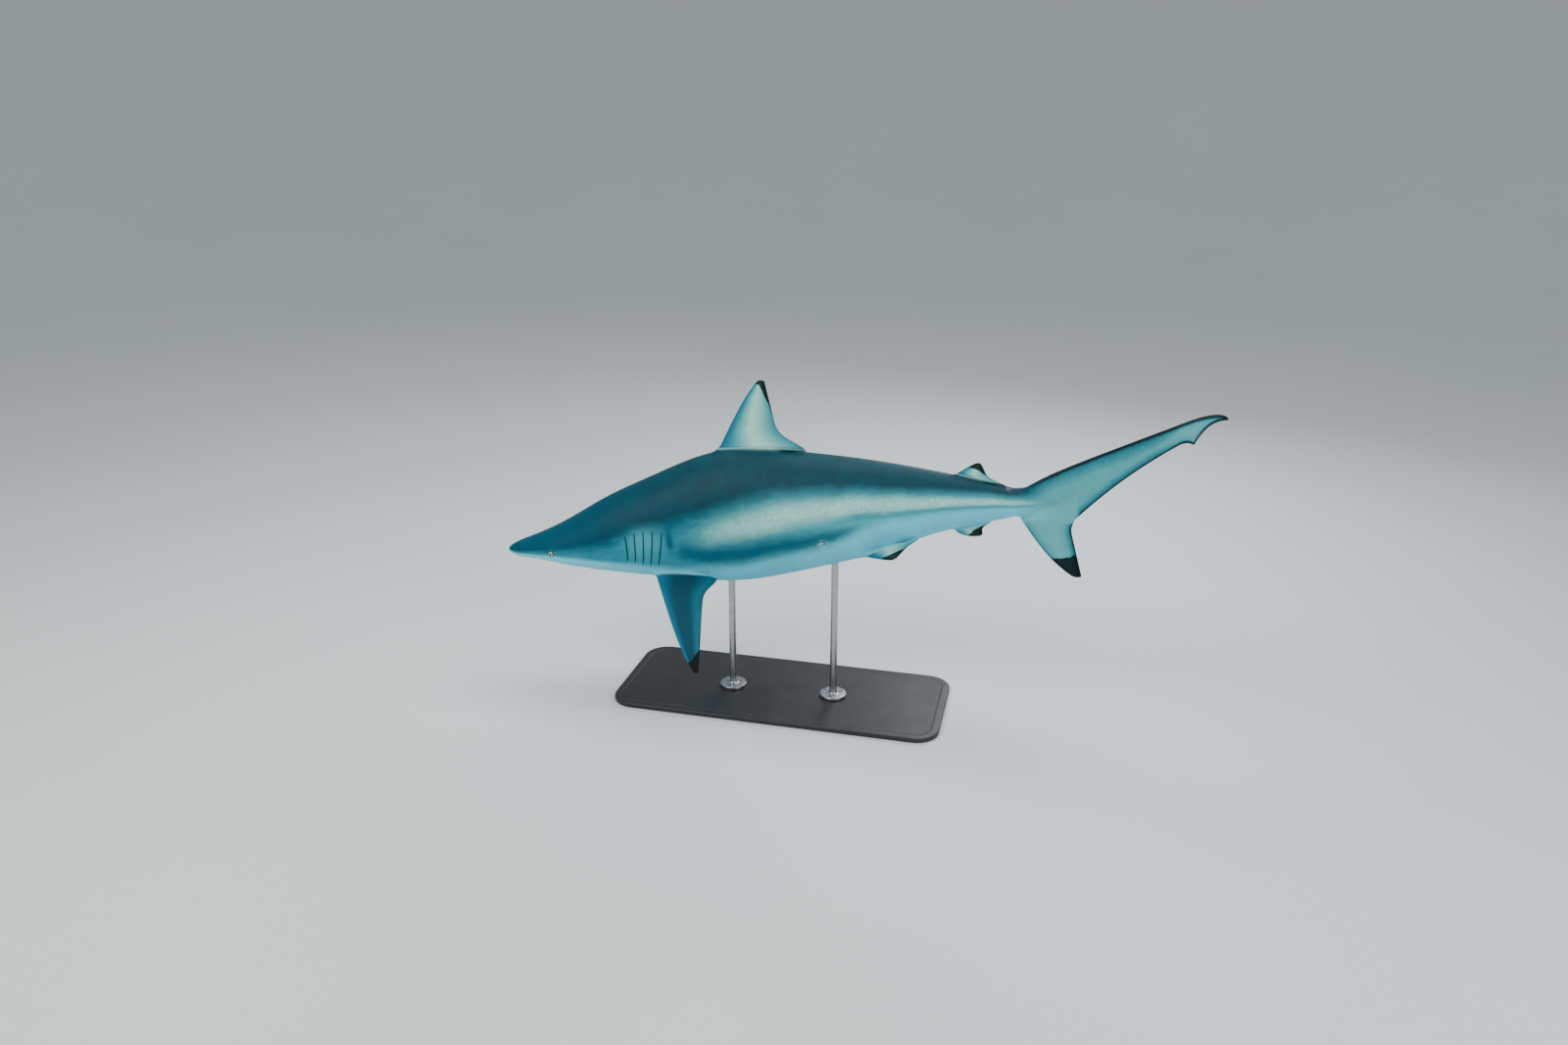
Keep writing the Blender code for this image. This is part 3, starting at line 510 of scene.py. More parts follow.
def strip(near, far):
    """Triangles between two rings of indices, of equal count or one with twice the other's."""
    triangles = []
    if len(near) > len(far):
        return [(c, b, a) for a, b, c in strip(far, near)]
    share = len(far) // len(near)
    for i, point in enumerate(near):
        following = near[(i + 1) % len(near)]
        first, second, third = (far[(i * share + k) % len(far)] for k in range(3))
        if share == 1:
            triangles += [(point, following, second), (point, second, first)]
        else:
            triangles += [(point, second, first), (point, following, second), (following, third, second)]
    return triangles


def cap(ring):
    """Triangles that close a ring from one side to the other."""
    last = len(ring) - 1
    triangles = [(ring[0], ring[1], ring[last])]
    for i in range(1, len(ring) // 2):
        lower = last - i
        triangles.append((ring[i], ring[i + 1], ring[lower + 1]))
        if lower > i + 1:
            triangles.append((ring[i + 1], ring[lower], ring[lower + 1]))
    return triangles


def loft(rings, tip=None):
    """Points and triangles of a closed skin over rings, optionally from a single tip point."""
    starts = np.cumsum([0] + [len(ring) for ring in rings])
    rows = [list(range(starts[i], starts[i + 1])) for i in range(len(rings))]
    points = np.vstack(rings)
    triangles = []
    for near, far in zip(rows, rows[1:]):
        triangles += strip(near, far)
    triangles += [triangle[::-1] for triangle in cap(rows[-1])]
    if tip is None:
        triangles += cap(rows[0])
    else:
        points = np.vstack((points, tip))
        count = len(rows[0])
        triangles += [(len(points) - 1, rows[0][(i + 1) % count], rows[0][i]) for i in range(count)]
    return points, triangles


def make_mesh(name, points, triangles):
    mesh = bpy.data.meshes.new(name)
    mesh.from_pydata([tuple(point) for point in points], [], [tuple(t) for t in triangles])
    mesh.update()
    form = bmesh.new()
    form.from_mesh(mesh)
    bmesh.ops.recalc_face_normals(form, faces=form.faces)
    form.to_mesh(mesh)
    form.free()
    return mesh


def add_object(name, mesh):
    shape = bpy.data.objects.new(name, mesh)
    bpy.context.scene.collection.objects.link(shape)
    return shape


def mesh_points(mesh):
    flat = np.empty(len(mesh.vertices) * 3)
    mesh.vertices.foreach_get("co", flat)
    return flat.reshape(-1, 3)


def mesh_normals(mesh):
    flat = np.empty(len(mesh.vertices) * 3, np.float32)
    mesh.vertex_normals.foreach_get("vector", flat)
    return flat.reshape(-1, 3).astype(float)


def set_points(mesh, points):
    mesh.vertices.foreach_set("co", np.asarray(points, float).ravel())
    mesh.update()


# ---------------------------------------------------------------- the bare body


def ring_plan():
    """Places of the body's cross-sections, each with its number of points."""
    plan = []
    place = 0.0002
    while place < TAIL_END:
        if place < 0.0009:
            count = 16
        elif place < 0.0035:
            count = 32
        elif place < 0.014:
            count = 64
        else:
            count = 128 if place < 0.62 else 64
        plan.append((place, count))
        snout_step = 0.00015 + 0.10 * place
        trunk_step = 0.0022 if place < 0.26 else 0.0034
        tail_step = 0.0022 if place < 0.915 else 0.0012
        place += min(snout_step, trunk_step if place < 0.70 else tail_step)
    plan.append((TAIL_END, 64))
    return plan


def make_bare_body():
    """The head, trunk and upper tail lobe in the shark's own axes, finer where detail comes."""
    rings = [body_ring(place, count) if place <= CAUDAL_START else tail_ring(place, count)
             for place, count in ring_plan()]
    points, triangles = loft(rings, tip=(0.0, 0.0, BODY[0][2]))
    return make_mesh("bare_body", *refine(np.array(points), triangles))


def refine(points, triangles, rounds=4):
    """Split long edges near the fine features, and lay the new points on the smooth surface."""
    for _ in range(rounds):
        corners = np.array(triangles)
        sides = np.sort(corners[:, (0, 1, 1, 2, 2, 0)].reshape(-1, 2), axis=1)
        edges, which = np.unique(sides, axis=0, return_inverse=True)
        middles = points[edges].mean(axis=1)
        lengths = np.linalg.norm(points[edges[:, 0]] - points[edges[:, 1]], axis=1) / MM
        chosen = lengths > 1.7 * detail_size(middles)
        if not chosen.any():
            break
        fresh = np.where(chosen, len(points) + np.cumsum(chosen) - 1, -1)
        points = np.vstack((points, snap_to_body(middles[chosen])))
        cut_sides = fresh[which.reshape(-1, 3)].tolist()
        triangles = [part for triangle, cuts in zip(corners.tolist(), cut_sides)
                     for part in split_triangle(triangle, cuts)]
    return points, triangles


def split_triangle(triangle, cuts):
    """The parts of a triangle whose sides have middle points; -1 where a side has none."""
    whole = cuts.count(-1)
    if whole == 3:
        return [triangle]
    while cuts[0] == -1 or (whole == 1 and cuts[1] == -1):
        triangle = triangle[1:] + triangle[:1]
        cuts = cuts[1:] + cuts[:1]
    a, b, c = triangle
    ab, bc, ca = cuts
    if whole == 2:
        return [(a, ab, c), (ab, b, c)]
    if whole == 1:
        return [(a, ab, c), (ab, b, bc), (ab, bc, c)]
    return [(a, ab, ca), (ab, b, bc), (ca, bc, c), (ab, bc, ca)]


def snap_to_body(points):
    """Move points of the head and trunk straight out or in, onto the smooth surface."""
    middle = section(points[:, 0])[3]
    level = np.where(points[:, 0] < CAUDAL_START, body_level(points), 1.0)
    level = np.maximum(level, 0.5)
    side = points[:, 1] / level
    height = middle + (points[:, 2] - middle) / level
    return np.column_stack((points[:, 0], side, height))


def detail_size(points):
    """The longest edge wanted round each point, in mm."""
    size = np.full(len(points), 99.0)
    for hand in (1, -1):
        x, y, z = eye_axes(points, hand)
        away = np.sqrt(x * x + y * y + z * z) - 15.0
        size = np.minimum(size, 0.55 + 0.22 * np.maximum(away, 0.0))
        for slit in GILL_SLITS:
            across, along, reach = gill_axes(points, slit, hand)
            beyond = np.maximum(np.abs(along - 0.5) - 0.53, 0.0) * reach
            gap = np.maximum(np.abs(across - 0.3) - 1.6, 0.0)
            away = np.hypot(gap, beyond) + 99.0 * (points[:, 1] * hand < 0)
            size = np.minimum(size, 0.60 + 0.30 * away)
        along, across = nostril_axes(points, hand)
        beyond = np.maximum(np.abs(along - 0.5) - 0.6, 0.0) * 19
        away = np.hypot(beyond, np.maximum(np.abs(across) - 3.0, 0.0))
        away = away + 99.0 * (points[:, 2] > -0.006)
        size = np.minimum(size, 0.50 + 0.28 * away)
    away, _, _ = mouth_axes(points)
    size = np.minimum(size, 0.70 + 0.25 * np.maximum(np.abs(away) - 2.5, 0.0))
    return np.minimum(size, root_size(points))


def root_size(points):
    """Finer edges round the roots of the fins."""
    size = np.full(len(points), 99.0)
    for fin in MEDIAN_FINS.values():
        along, outward, across = (median_fin_axes(fin, points) / MM).T
        size = np.minimum(size, root_edge(fin, along, outward, across))
    for fin in PAIRED_FINS.values():
        for hand in (1, -1):
            straight = unsettle_rigid(settle(points), fin["base"][0])
            along, outward, across = (paired_fin_axes(fin, straight, hand) / MM).T
            size = np.minimum(size, root_edge(fin, along, outward, across))
    return size


def root_edge(fin, along, outward, across):
    rear = fin["insertion"] / MM
    front = fin["nose"] / MM
    gap = np.maximum(np.maximum(front - along, along - rear), 0.0)
    away = np.sqrt(gap ** 2 + np.maximum(np.abs(across) - fin["fillet"], 0.0) ** 2
                   + np.maximum(np.abs(outward) - 25.0, 0.0) ** 2)
    return 2.4 + 0.20 * away


# ---------------------------------------------------------------- eyes, gills, mouth and nostrils


def eye_frame(hand):
    """Centre of the eyeball and the unit axes rearward, up and outward, in body lengths."""
    here = np.array([[EYE_PLACE, float(side_at(EYE_PLACE, EYE_HEIGHT)), EYE_HEIGHT]])
    slope = []
    for axis in range(3):
        shift = np.zeros(3)
        shift[axis] = MM
        slope.append(body_level(here + shift)[0] - body_level(here - shift)[0])
    outward = np.array(slope) / np.linalg.norm(slope)
    rearward = np.cross((0.0, 0.0, 1.0), outward)
    rearward = -rearward / np.linalg.norm(rearward)
    if rearward[0] < 0:
        rearward = -rearward
    up = np.cross(outward, rearward)
    if up[2] < 0:
        up = -up
    centre = here[0] - (0.0, (EYE_RADIUS - EYE_PROUD) * MM, 0.0)
    flip = np.array((1.0, hand, 1.0))
    return centre * flip, rearward * flip, up * flip, outward * flip


def eye_axes(points, hand):
    """Millimetres rearward, up and outward from the middle of an eyeball."""
    centre, rearward, up, outward = eye_frame(hand)
    offset = (points - centre) / MM
    return offset @ rearward, offset @ up, offset @ outward


def gill_axes(points, slit, hand):
    """Millimetres behind a slit, share of the way down it, and its length."""
    start, top, bottom, lean = slit
    down = (top - points[:, 2]) / (top - bottom)
    held = np.clip(down, -0.3, 1.3)
    line = start - lean * held + GILL_BOW * MM * 4 * np.clip(held * (1 - held), 0.0, 1.0)
    return (points[:, 0] - line) / MM, down, (top - bottom) / MM


def mouth_axes(points):
    """Millimetres outside the line of the mouth, in plan; how far along; and whether under the head."""
    turns = np.radians(np.linspace(-90.0, 90.0, 181))
    line_place = MOUTH_CORNER - (MOUTH_CORNER - MOUTH_FRONT) * np.cos(turns)
    line_side = MOUTH_HALF_WIDTH * np.sin(turns)
    place, _, height = points.T
    near = (place > MOUTH_FRONT - 0.03) & (place < MOUTH_CORNER + 0.03) & (height < -0.012)
    away = np.full(len(points), 999.0)
    share = np.zeros(len(points))
    chosen = np.flatnonzero(near)
    for block in np.array_split(chosen, max(1, len(chosen) // 4000)):
        gaps = np.hypot(points[block, 0][:, None] - line_place, points[block, 1][:, None] - line_side)
        best = gaps.argmin(axis=1)
        ahead = line_place[best] - points[block, 0]
        outside = np.abs(points[block, 1]) - np.abs(line_side[best])
        sign = np.where(ahead * np.cos(turns[best]) + outside * np.abs(np.sin(turns[best])) > 0, 1.0, -1.0)
        away[block] = gaps[np.arange(len(block)), best] / MM * sign
        share[block] = np.abs(turns[best]) / (math.pi / 2)
    return away, share, near


def nostril_axes(points, hand):
    """Share of the way along a nostril, and millimetres across it, forward being plus."""
    (place, side), (end_place, end_side) = NOSTRIL
    span = np.array((end_place - place, end_side - side))
    length = np.linalg.norm(span)
    direction = span / length
    ahead = points[:, 0] - place
    out = points[:, 1] * hand - side
    along = (ahead * direction[0] + out * direction[1]) / length
    across = (ahead * direction[1] - out * direction[0]) / MM
    return along, across


def carve_head(mesh):
    """Model the eyes' lids, gills, mouth, nostrils and tail notches; return how much painted shade each point
    takes in the slits, mouth, nostrils and eye openings.
    """
    points = mesh_points(mesh)
    normals = mesh_normals(mesh)
    recess_shade = np.zeros(len(points))
    for hand in (1, -1):
        points, shade = carve_gills(points, normals, hand)
        recess_shade = np.maximum(recess_shade, shade)
    points, shade = carve_mouth(points)
    recess_shade = np.maximum(recess_shade, shade)
    for hand in (1, -1):
        points, shade = carve_nostril(points, normals, hand)
        recess_shade = np.maximum(recess_shade, shade)
        points, shade = shape_lids(points, hand)
        recess_shade = np.maximum(recess_shade, shade)
    points = carve_tail_notches(points)
    set_points(mesh, points)
    return recess_shade


def carve_gills(points, normals, hand):
    """Five slits, each under the thin rear edge of the flap in front of it."""
    lift = np.zeros(len(points))
    shift = np.zeros(len(points))
    recess_shade = np.zeros(len(points))
    here = (points[:, 1] * hand > 0.02) & (points[:, 0] > 0.16) & (points[:, 0] < 0.27)
    for slit in GILL_SLITS:
        across, down, _ = gill_axes(points, slit, hand)
        inside = here & (down > -0.15) & (down < 1.15)
        open_share = np.clip(1 - np.abs(2 * down - 1) ** 3, 0.0, 1.0) ** 0.5
        fade = np.clip(1 - np.abs(2 * down - 1) / 1.3, 0.0, 1.0) ** 0.5
        flap = 1.3 * np.exp(np.minimum(across, 0.0) / 4.5) * (across <= 0.15)
        wall = ease(across, 0.0, 0.9)
        recover = np.exp(-np.maximum(across - 1.1, 0.0) / 2.1)
        slot = -GILL_DEPTH * wall * recover
        behind = 0.35 * bump(across - 7.0, 3.0)
        lift += np.where(inside, (flap * (1 - wall) + behind) * fade + slot * open_share, 0.0)
        edge = np.exp(-np.abs(np.minimum(across, 0.0)) / 2.2) * (1 - ease(across, 0.0, 0.6))
        shift += np.where(inside, GILL_OVERLAP * edge * open_share, 0.0)
        # painted shade deep inside the slit
        depth = wall * np.exp(-np.maximum(across - 1.0, 0.0) / 1.3) * open_share
        recess_shade = np.maximum(recess_shade, np.where(inside, depth, 0.0))
    moved = points + normals * (lift * MM)[:, None]
    moved[:, 0] += shift * MM
    return moved, recess_shade


def carve_mouth(points):
    """The line of the closed mouth, with lips and a short furrow at each corner."""
    away, share, near = mouth_axes(points)
    fade = 1 - ease(share, 0.93, 1.0) * 0.75
    groove = MOUTH_DEPTH * bump(away, 1.1) * fade
    lips = 1 - ease(share, 0.80, 0.99)
    upper_lip = 1.0 * bump(away - 3.4, 2.2) * lips
    lower_lip = 1.1 * bump(away + 3.6, 2.6) * lips
    tucked = 1.6 * np.where(away < 0, np.exp(away / 14.0), 0.0) * (1 - share ** 2)
    rise = np.where(near, groove - upper_lip - lower_lip + tucked * (1 - bump(away, 2.0)), 0.0)
    furrow = np.zeros(len(points))
    corner = np.array((MOUTH_CORNER - 0.002, MOUTH_HALF_WIDTH + 0.0004))
    end = np.array((MOUTH_CORNER - 0.0105, MOUTH_HALF_WIDTH + 0.0034))
    span = (end - corner) / np.linalg.norm(end - corner)
    offset = np.column_stack((points[:, 0], np.abs(points[:, 1]))) - corner
    along = offset @ span / np.linalg.norm(end - corner)
    across = (offset[:, 0] * span[1] - offset[:, 1] * span[0]) / MM
    across = across + 1.8 * np.clip(along * (1 - along), 0.0, 1.0) * 4
    held = (along > -0.1) & (along < 1.1) & near
    furrow[held] = (1.3 * bump(across, 1.1) * np.clip(1 - np.abs(2 * along - 1) / 1.2, 0, 1) ** 0.5)[held]
    moved = points.copy()
    moved[:, 2] += (rise + furrow) * MM
    # painted shade along the mouth groove and the corner furrows
    recess_shade = np.where(near, np.maximum(bump(away, 0.9) * fade, np.clip(furrow / 1.8, 0, 1)), 0.0)
    return moved, recess_shade


def carve_nostril(points, normals, hand):
    """A slanting slit under the snout, half covered by a pointed flap from its front edge."""
    along, across = nostril_axes(points, hand)
    here = (points[:, 2] < -0.006) & (np.abs(along - 0.5) < 0.8) & (np.abs(across) < 9.0)
    ends = np.clip(1 - np.abs(2 * along - 1) ** 2.5, 0.0, 1.0) ** 0.5
    width = NOSTRIL_WIDTH * (0.35 + 0.65 * ends)
    slot = ends * (1 - ease(np.abs(across), 0.55 * width, 1.25 * width))
    flap = ease(0.26 - np.abs(along - 0.42), 0.0, 0.10) * ease(across, -1.4, -0.2)
    rim = 0.6 * bump(np.abs(across) - 1.9 * width, 1.1) * np.clip(1.1 - np.abs(2 * along - 1), 0, 1)
    raised = 0.5 * flap * ends * bump(across - 0.6, 2.0)
    lift = np.where(here, rim - NOSTRIL_DEPTH * slot * (1 - flap) + raised, 0.0)
    # painted shade in the open part of the nostril
    recess_shade = np.where(here, slot * (1 - flap), 0.0)
    return points + normals * (lift * MM)[:, None], recess_shade


def shape_lids(points, hand):
    """Draw the skin to the eyeball, with rounded lids, an inner lid below and a low brow."""
    x, y, z = eye_axes(points, hand)
    half_length, half_height = EYE_OPENING
    here = (x * x + y * y < 30.0 ** 2) & (z > 0.0)
    ratio = np.sqrt((x / half_length) ** 2 + (y / half_height) ** 2)
    held = np.maximum(ratio, 1e-6)
    globe = np.sqrt(np.clip(EYE_RADIUS ** 2 - x * x - y * y, 0.0, None))
    rim_x, rim_y = x / held, y / held
    rim = np.sqrt(np.clip(EYE_RADIUS ** 2 - rim_x ** 2 - rim_y ** 2, 0.0, None)) + LID_THICKNESS
    beyond = np.hypot(x - rim_x, y - rim_y) * (ratio > 1)
    blend = ease(beyond, 0.0, 10.0)
    outside = rim * (1 - blend) + z * blend
    outside += 0.45 * bump(beyond - 1.3, 1.2) - 0.35 * bump(beyond - 4.2, 1.6)
    outside += 1.3 * bump(y - 12.5, 5.0) * bump(x + 1.0, 13.0)
    inner_edge = -3.9 + 0.022 * x * x
    inner_lid = 1 - ease(y, inner_edge - 0.35, inner_edge + 0.35)
    inside = globe - 2.2 + (2.2 + 0.35) * inner_lid
    fall = ease(ratio, 0.90, 1.0)
    inside = inside * (1 - fall) + (rim - 0.1) * fall
    height = np.where(ratio > 1, outside, inside)
    centre, rearward, up, outward = eye_frame(hand)
    lifted = centre + (x[:, None] * rearward + y[:, None] * up + height[:, None] * outward) * MM
    # painted shade round the rim of the eye opening
    recess_shade = np.where(here & (ratio < 1.0), (1 - ease(np.abs(ratio - 0.96), 0.03, 0.10)) * 0.7, 0.0)
    return np.where(here[:, None], lifted, points), recess_shade


def carve_tail_notches(points):
    """The notches above and below the end of the tail stock."""
    moved = points.copy()
    for place, top, depth in ((PIT_PLACES[0], True, PIT_DEPTH), (PIT_PLACES[1], False, PIT_DEPTH * 0.45)):
        outer = points[:, 2] > 0 if top else points[:, 2] < 0
        bent = (points[:, 0] - place) / MM - 0.06 * (points[:, 1] / MM) ** 2
        form = np.where(bent < 0, bump(bent, 7.0), bump(bent, 2.6)) * bump(points[:, 1] / MM, 13.0)
        moved[:, 2] += np.where(outer, form * depth * (-1 if top else 1), 0.0) * MM
    return moved


# ---------------------------------------------------------------- one skin


def fin_meshes():
    """Each fin as (name, fin, hand, points, triangles), in the world."""
    made = []
    for name, fin in MEDIAN_FINS.items():
        points, triangles = loft([settle(median_fin_points(fin, ring)) for ring in fin_rings(fin)])
        made.append((name, fin, 0, points, triangles))
    for name, fin in PAIRED_FINS.items():
        for hand in (1, -1):
            rings = [settle_rigid(paired_fin_points(fin, ring, hand), fin["base"][0])
                     for ring in fin_rings(fin)]
            points, triangles = loft(rings)
            made.append((name, fin, hand, points, triangles))
    return made


def fin_axes(fin, hand, world):
    """Body lengths along a fin's base, out from the body and across, for world points."""
    if hand:
        return paired_fin_axes(fin, unsettle_rigid(world, fin["base"][0]), hand)
    return median_fin_axes(fin, unsettle(world))


def unite(body, others):
    """Boolean union of the body with every fin at once."""
    modifier = body.modifiers.new("unite", "BOOLEAN")
    modifier.operation = "UNION"
    modifier.solver = "EXACT"
    modifier.object = others
    joined = bpy.data.meshes.new_from_object(body.evaluated_get(bpy.context.evaluated_depsgraph_get()))
    body.modifiers.clear()
    body.data = joined
    bpy.data.objects.remove(others, do_unlink=True)


def tidy_mesh(mesh):
    """Merge points that all but touch, and leave only triangles."""
    form = bmesh.new()
    form.from_mesh(mesh)
    bmesh.ops.remove_doubles(form, verts=form.verts, dist=0.00002)
    bmesh.ops.triangulate(form, faces=[face for face in form.faces if len(face.verts) > 3])
    form.to_mesh(mesh)
    form.free()


def signed_gap(tree, point):
    """Distance out from a closed surface, negative just inside it, and the direction outward.

    The skin never lies deep inside: a nearest edge that says so faces the wrong way.
    """
    spot, normal, _, distance = tree.find_nearest(point)
    if distance < 0.0003:
        return (point - spot).dot(normal), normal
    way = (point - spot) / distance
    side = 1 if way.dot(normal) > 0 or distance > DEEPEST else -1
    return side * distance, side * way


def surface_tree(points, triangles):
    """A tree of a closed surface, with its normals facing out."""
    corners = np.asarray(points)[np.array(triangles)]
    volume = (corners[:, 0] * np.cross(corners[:, 1], corners[:, 2])).sum()
    facing = [tuple(triangle)[::1 if volume > 0 else -1] for triangle in triangles]
    return BVHTree.FromPolygons([tuple(point) for point in points], facing)


def near_fin(world, points, reach):
    """Indices of the points in a fin's own box, widened by a reach."""
    low, high = points.min(axis=0) - reach, points.max(axis=0) + reach
    return np.flatnonzero(((world > low) & (world < high)).all(axis=1))


def faired(point, body_tree, fin_tree, span):
    """A point moved one step toward the surface that joins body and fin over a span."""
    from_body, body_way = signed_gap(body_tree, point)
    from_fin, fin_way = signed_gap(fin_tree, point)
    overlap = max(span - abs(from_body - from_fin), 0.0)
    far = overlap / (2 * span)
    nearer, farther = (body_way, fin_way) if from_body < from_fin else (fin_way, body_way)
    slope = nearer * (1 - far) + farther * far
    value = min(from_body, from_fin) - overlap ** 2 / (4 * span)
    return point - slope * (value / max(slope.length_squared, 0.35))


def blend_roots(mesh, body_tree, fins, rounds=5):
    """Fair each fin into the body."""
    for _, fin, hand, points, triangles in fins:
        world = mesh_points(mesh)
        tree = surface_tree(points, triangles)
        reach = fin["fillet"] / 1000
        weights = np.zeros(len(world))
        for i in near_fin(world, points, reach):
            point = Vector(world[i])
            gap = max(body_tree.find_nearest(point)[3], tree.find_nearest(point)[3])
            weights[i] = max(1 - gap / reach, 0.0)
        chosen = np.flatnonzero(weights)
        along = fin_axes(fin, hand, world[chosen])[:, 0] / MM
        rear = fin.get("faired_until", fin["insertion"]) / MM
        share = 1 - ease(along, rear - 16.0, rear + 2.0)
        chosen, share = chosen[share > 0.1], share[share > 0.1]
        spans = reach * share
        held = np.zeros(len(world))
        held[chosen] = np.sqrt(weights[chosen] * share)
        for _ in range(rounds):
            relax(mesh, held, 2)
            world = mesh_points(mesh)
            for i, span in zip(chosen, spans):
                world[i] = faired(Vector(world[i]), body_tree, tree, span)
            set_points(mesh, world)
        relax(mesh, held * 0.5, 3)


def relax(mesh, weights, rounds):
    """Smooth the weighted points toward their neighbours."""
    edges = np.empty(len(mesh.edges) * 2, np.int64)
    mesh.edges.foreach_get("vertices", edges)
    edges = edges.reshape(-1, 2)
    chosen = edges[(weights[edges] > 0).any(axis=1)]
    points = mesh_points(mesh)
    for _ in range(rounds):
        total = np.zeros_like(points)
        count = np.zeros(len(points))
        for near, far in ((0, 1), (1, 0)):
            np.add.at(total, chosen[:, near], points[chosen[:, far]])
            np.add.at(count, chosen[:, near], 1)
        mean = total / np.maximum(count, 1)[:, None]
        pull = (weights * (count > 0) * 0.6)[:, None]
        points = points * (1 - pull) + mean * pull
    set_points(mesh, points)


def tail_fork(own):
    """How much of the smoothing where both lobes leave the tail stock each point takes."""
    place, _, height = own.T
    low = ease(height, -0.036, -0.026) * (1 - ease((height - upper_edge(place)) / MM, -16.0, -8.0))
    above_edge = ease((height - tail_bottom(place)) / MM, 4.0, 10.0)
    rear = np.where(height < -0.012, 1 - ease(place, 0.772, 0.786), above_edge)
    return low * rear * ease(place, 0.734, 0.750) * (1 - ease(place, 0.815, 0.840))


def set_attribute(mesh, name, values):
    """Store a number, or a vector, for each point."""
    values = np.asarray(values, float)
    kind, field = ("FLOAT", "value") if values.ndim == 1 else ("FLOAT_VECTOR", "vector")
    layer = mesh.attributes.new(name, kind, "POINT")
    layer.data.foreach_set(field, values.ravel())


def make_skin():
    """Unite body and fins, fair the roots and store where each point lies on the shark."""
    bare = make_bare_body()
    recess_shade = carve_head(bare)
    world = settle(mesh_points(bare))
    set_points(bare, world)
    body_tree = surface_tree(world, [tuple(face.vertices) for face in bare.polygons])
    set_attribute(bare, "recess_shade", recess_shade)
    skin = add_object("skin", bare)
    fins = fin_meshes()
    points = []
    faces = []
    for _, _, _, fin_points, fin_triangles in fins:
        start = len(points)
        points += [tuple(point) for point in fin_points]
        faces += [tuple(start + i for i in triangle) for triangle in fin_triangles]
    others = add_object("fins", make_mesh("fins", points, faces))
    set_attribute(others.data, "recess_shade", np.zeros(len(points)))
    unite(skin, others)
    mesh = skin.data
    tidy_mesh(mesh)
    blend_roots(mesh, body_tree, fins)
    relax(mesh, tail_fork(unsettle(mesh_points(mesh))), 16)
    describe_points(mesh, fins)
    mesh.shade_smooth()
    return skin


def kind_of(name):
    return {"lower_tail_lobe": "caudal", "pectoral_fin": "paired"}.get(name, "median")


def describe_points(mesh, fins):
    """Store the places that the skin's pattern is drawn from."""
    world = mesh_points(mesh)
    own = unsettle(world)
    set_attribute(mesh, "own_axes", own * LENGTH)
    recess_shade = np.empty(len(own))
    mesh.attributes["recess_shade"].data.foreach_get("value", recess_shade)
    recess_shade[(own[:, 0] > HEAD_END) | (body_level(own) > 1.15)] = 0.0  # the union spreads it onto the fins
    mesh.attributes["recess_shade"].data.foreach_set("value", recess_shade)
    girth = girth_at(own)
    set_attribute(mesh, "girth", girth)
    _, back, _, middle, _, _ = section(own[:, 0])
    line = middle + (back - middle) * (0.30 - 0.22 * ease(own[:, 0], 0.18, 0.60))
    set_attribute(mesh, "lateral", (own[:, 2] - line) / MM)
    tip = np.full(len(world), -99.0)
    margin = np.full(len(world), 99.0)
    kinds = {kind: np.zeros(len(world)) for kind in ("median", "paired", "caudal")}
    frame = np.zeros((len(world), 3))
    outside = (np.maximum(body_level(own), 0.0) - 1) * np.maximum(section(own[:, 0])[0], 0.01) / MM
    for name, fin, hand, points, _ in fins:
        near = near_fin(world, points, 0.004)
        along, outward, across = fin_axes(fin, hand, world[near]).T
        level = np.clip(outward, fin["free"], fin["tip"])
        front = front_edge(fin, level)
        rear = rear_edge(fin, level)
        chord = np.clip((along - front) / (rear - front), 0.0, 1.0)
        on_fin = (np.abs(across) < 0.020) & (outward > -0.02) & (along > front - 0.01) & (along < rear + 0.01)
        if name == "lower_tail_lobe":
            on_fin &= outward > 0.012
        rim_front, rim_rear = fin["black"]
        reach = rim_front + (rim_rear - rim_front) * chord ** fin.get("slant", 3)
        inside = reach - (fin["tip"] - outward) / MM
        tip[near] = np.where(on_fin, np.maximum(tip[near], inside), tip[near])
        behind = (rear - along) / MM
        if name == "lower_tail_lobe":
            behind = np.minimum(behind, (along - front) / MM + 3.0)
        buried = np.maximum(fin.get("rim_start", fin["free"]) - outward, 0.0) / MM
        margin[near] = np.where(on_fin, np.minimum(margin[near], behind + 3 * buried), margin[near])
        kind = kind_of(name)
        weight = ease(outside[near], 1.0, 10.0) * on_fin
        kinds[kind][near] = np.maximum(kinds[kind][near], weight)
        span = np.clip(outward / fin["tip"], 0.0, 1.0)
        upper = np.clip(across / MM / 1.5, -1.0, 1.0) if hand else np.zeros(len(near))
        values = np.column_stack((chord, span, upper))
        frame[near] = np.where((weight > 0)[:, None], values, frame[near])
    describe_tail(own, tip, margin, kinds, frame)
    set_attribute(mesh, "tip", tip)
    set_attribute(mesh, "margin", margin)
    set_attribute(mesh, "fin_frame", frame)
    for kind, weight in kinds.items():
        set_attribute(mesh, kind, weight)


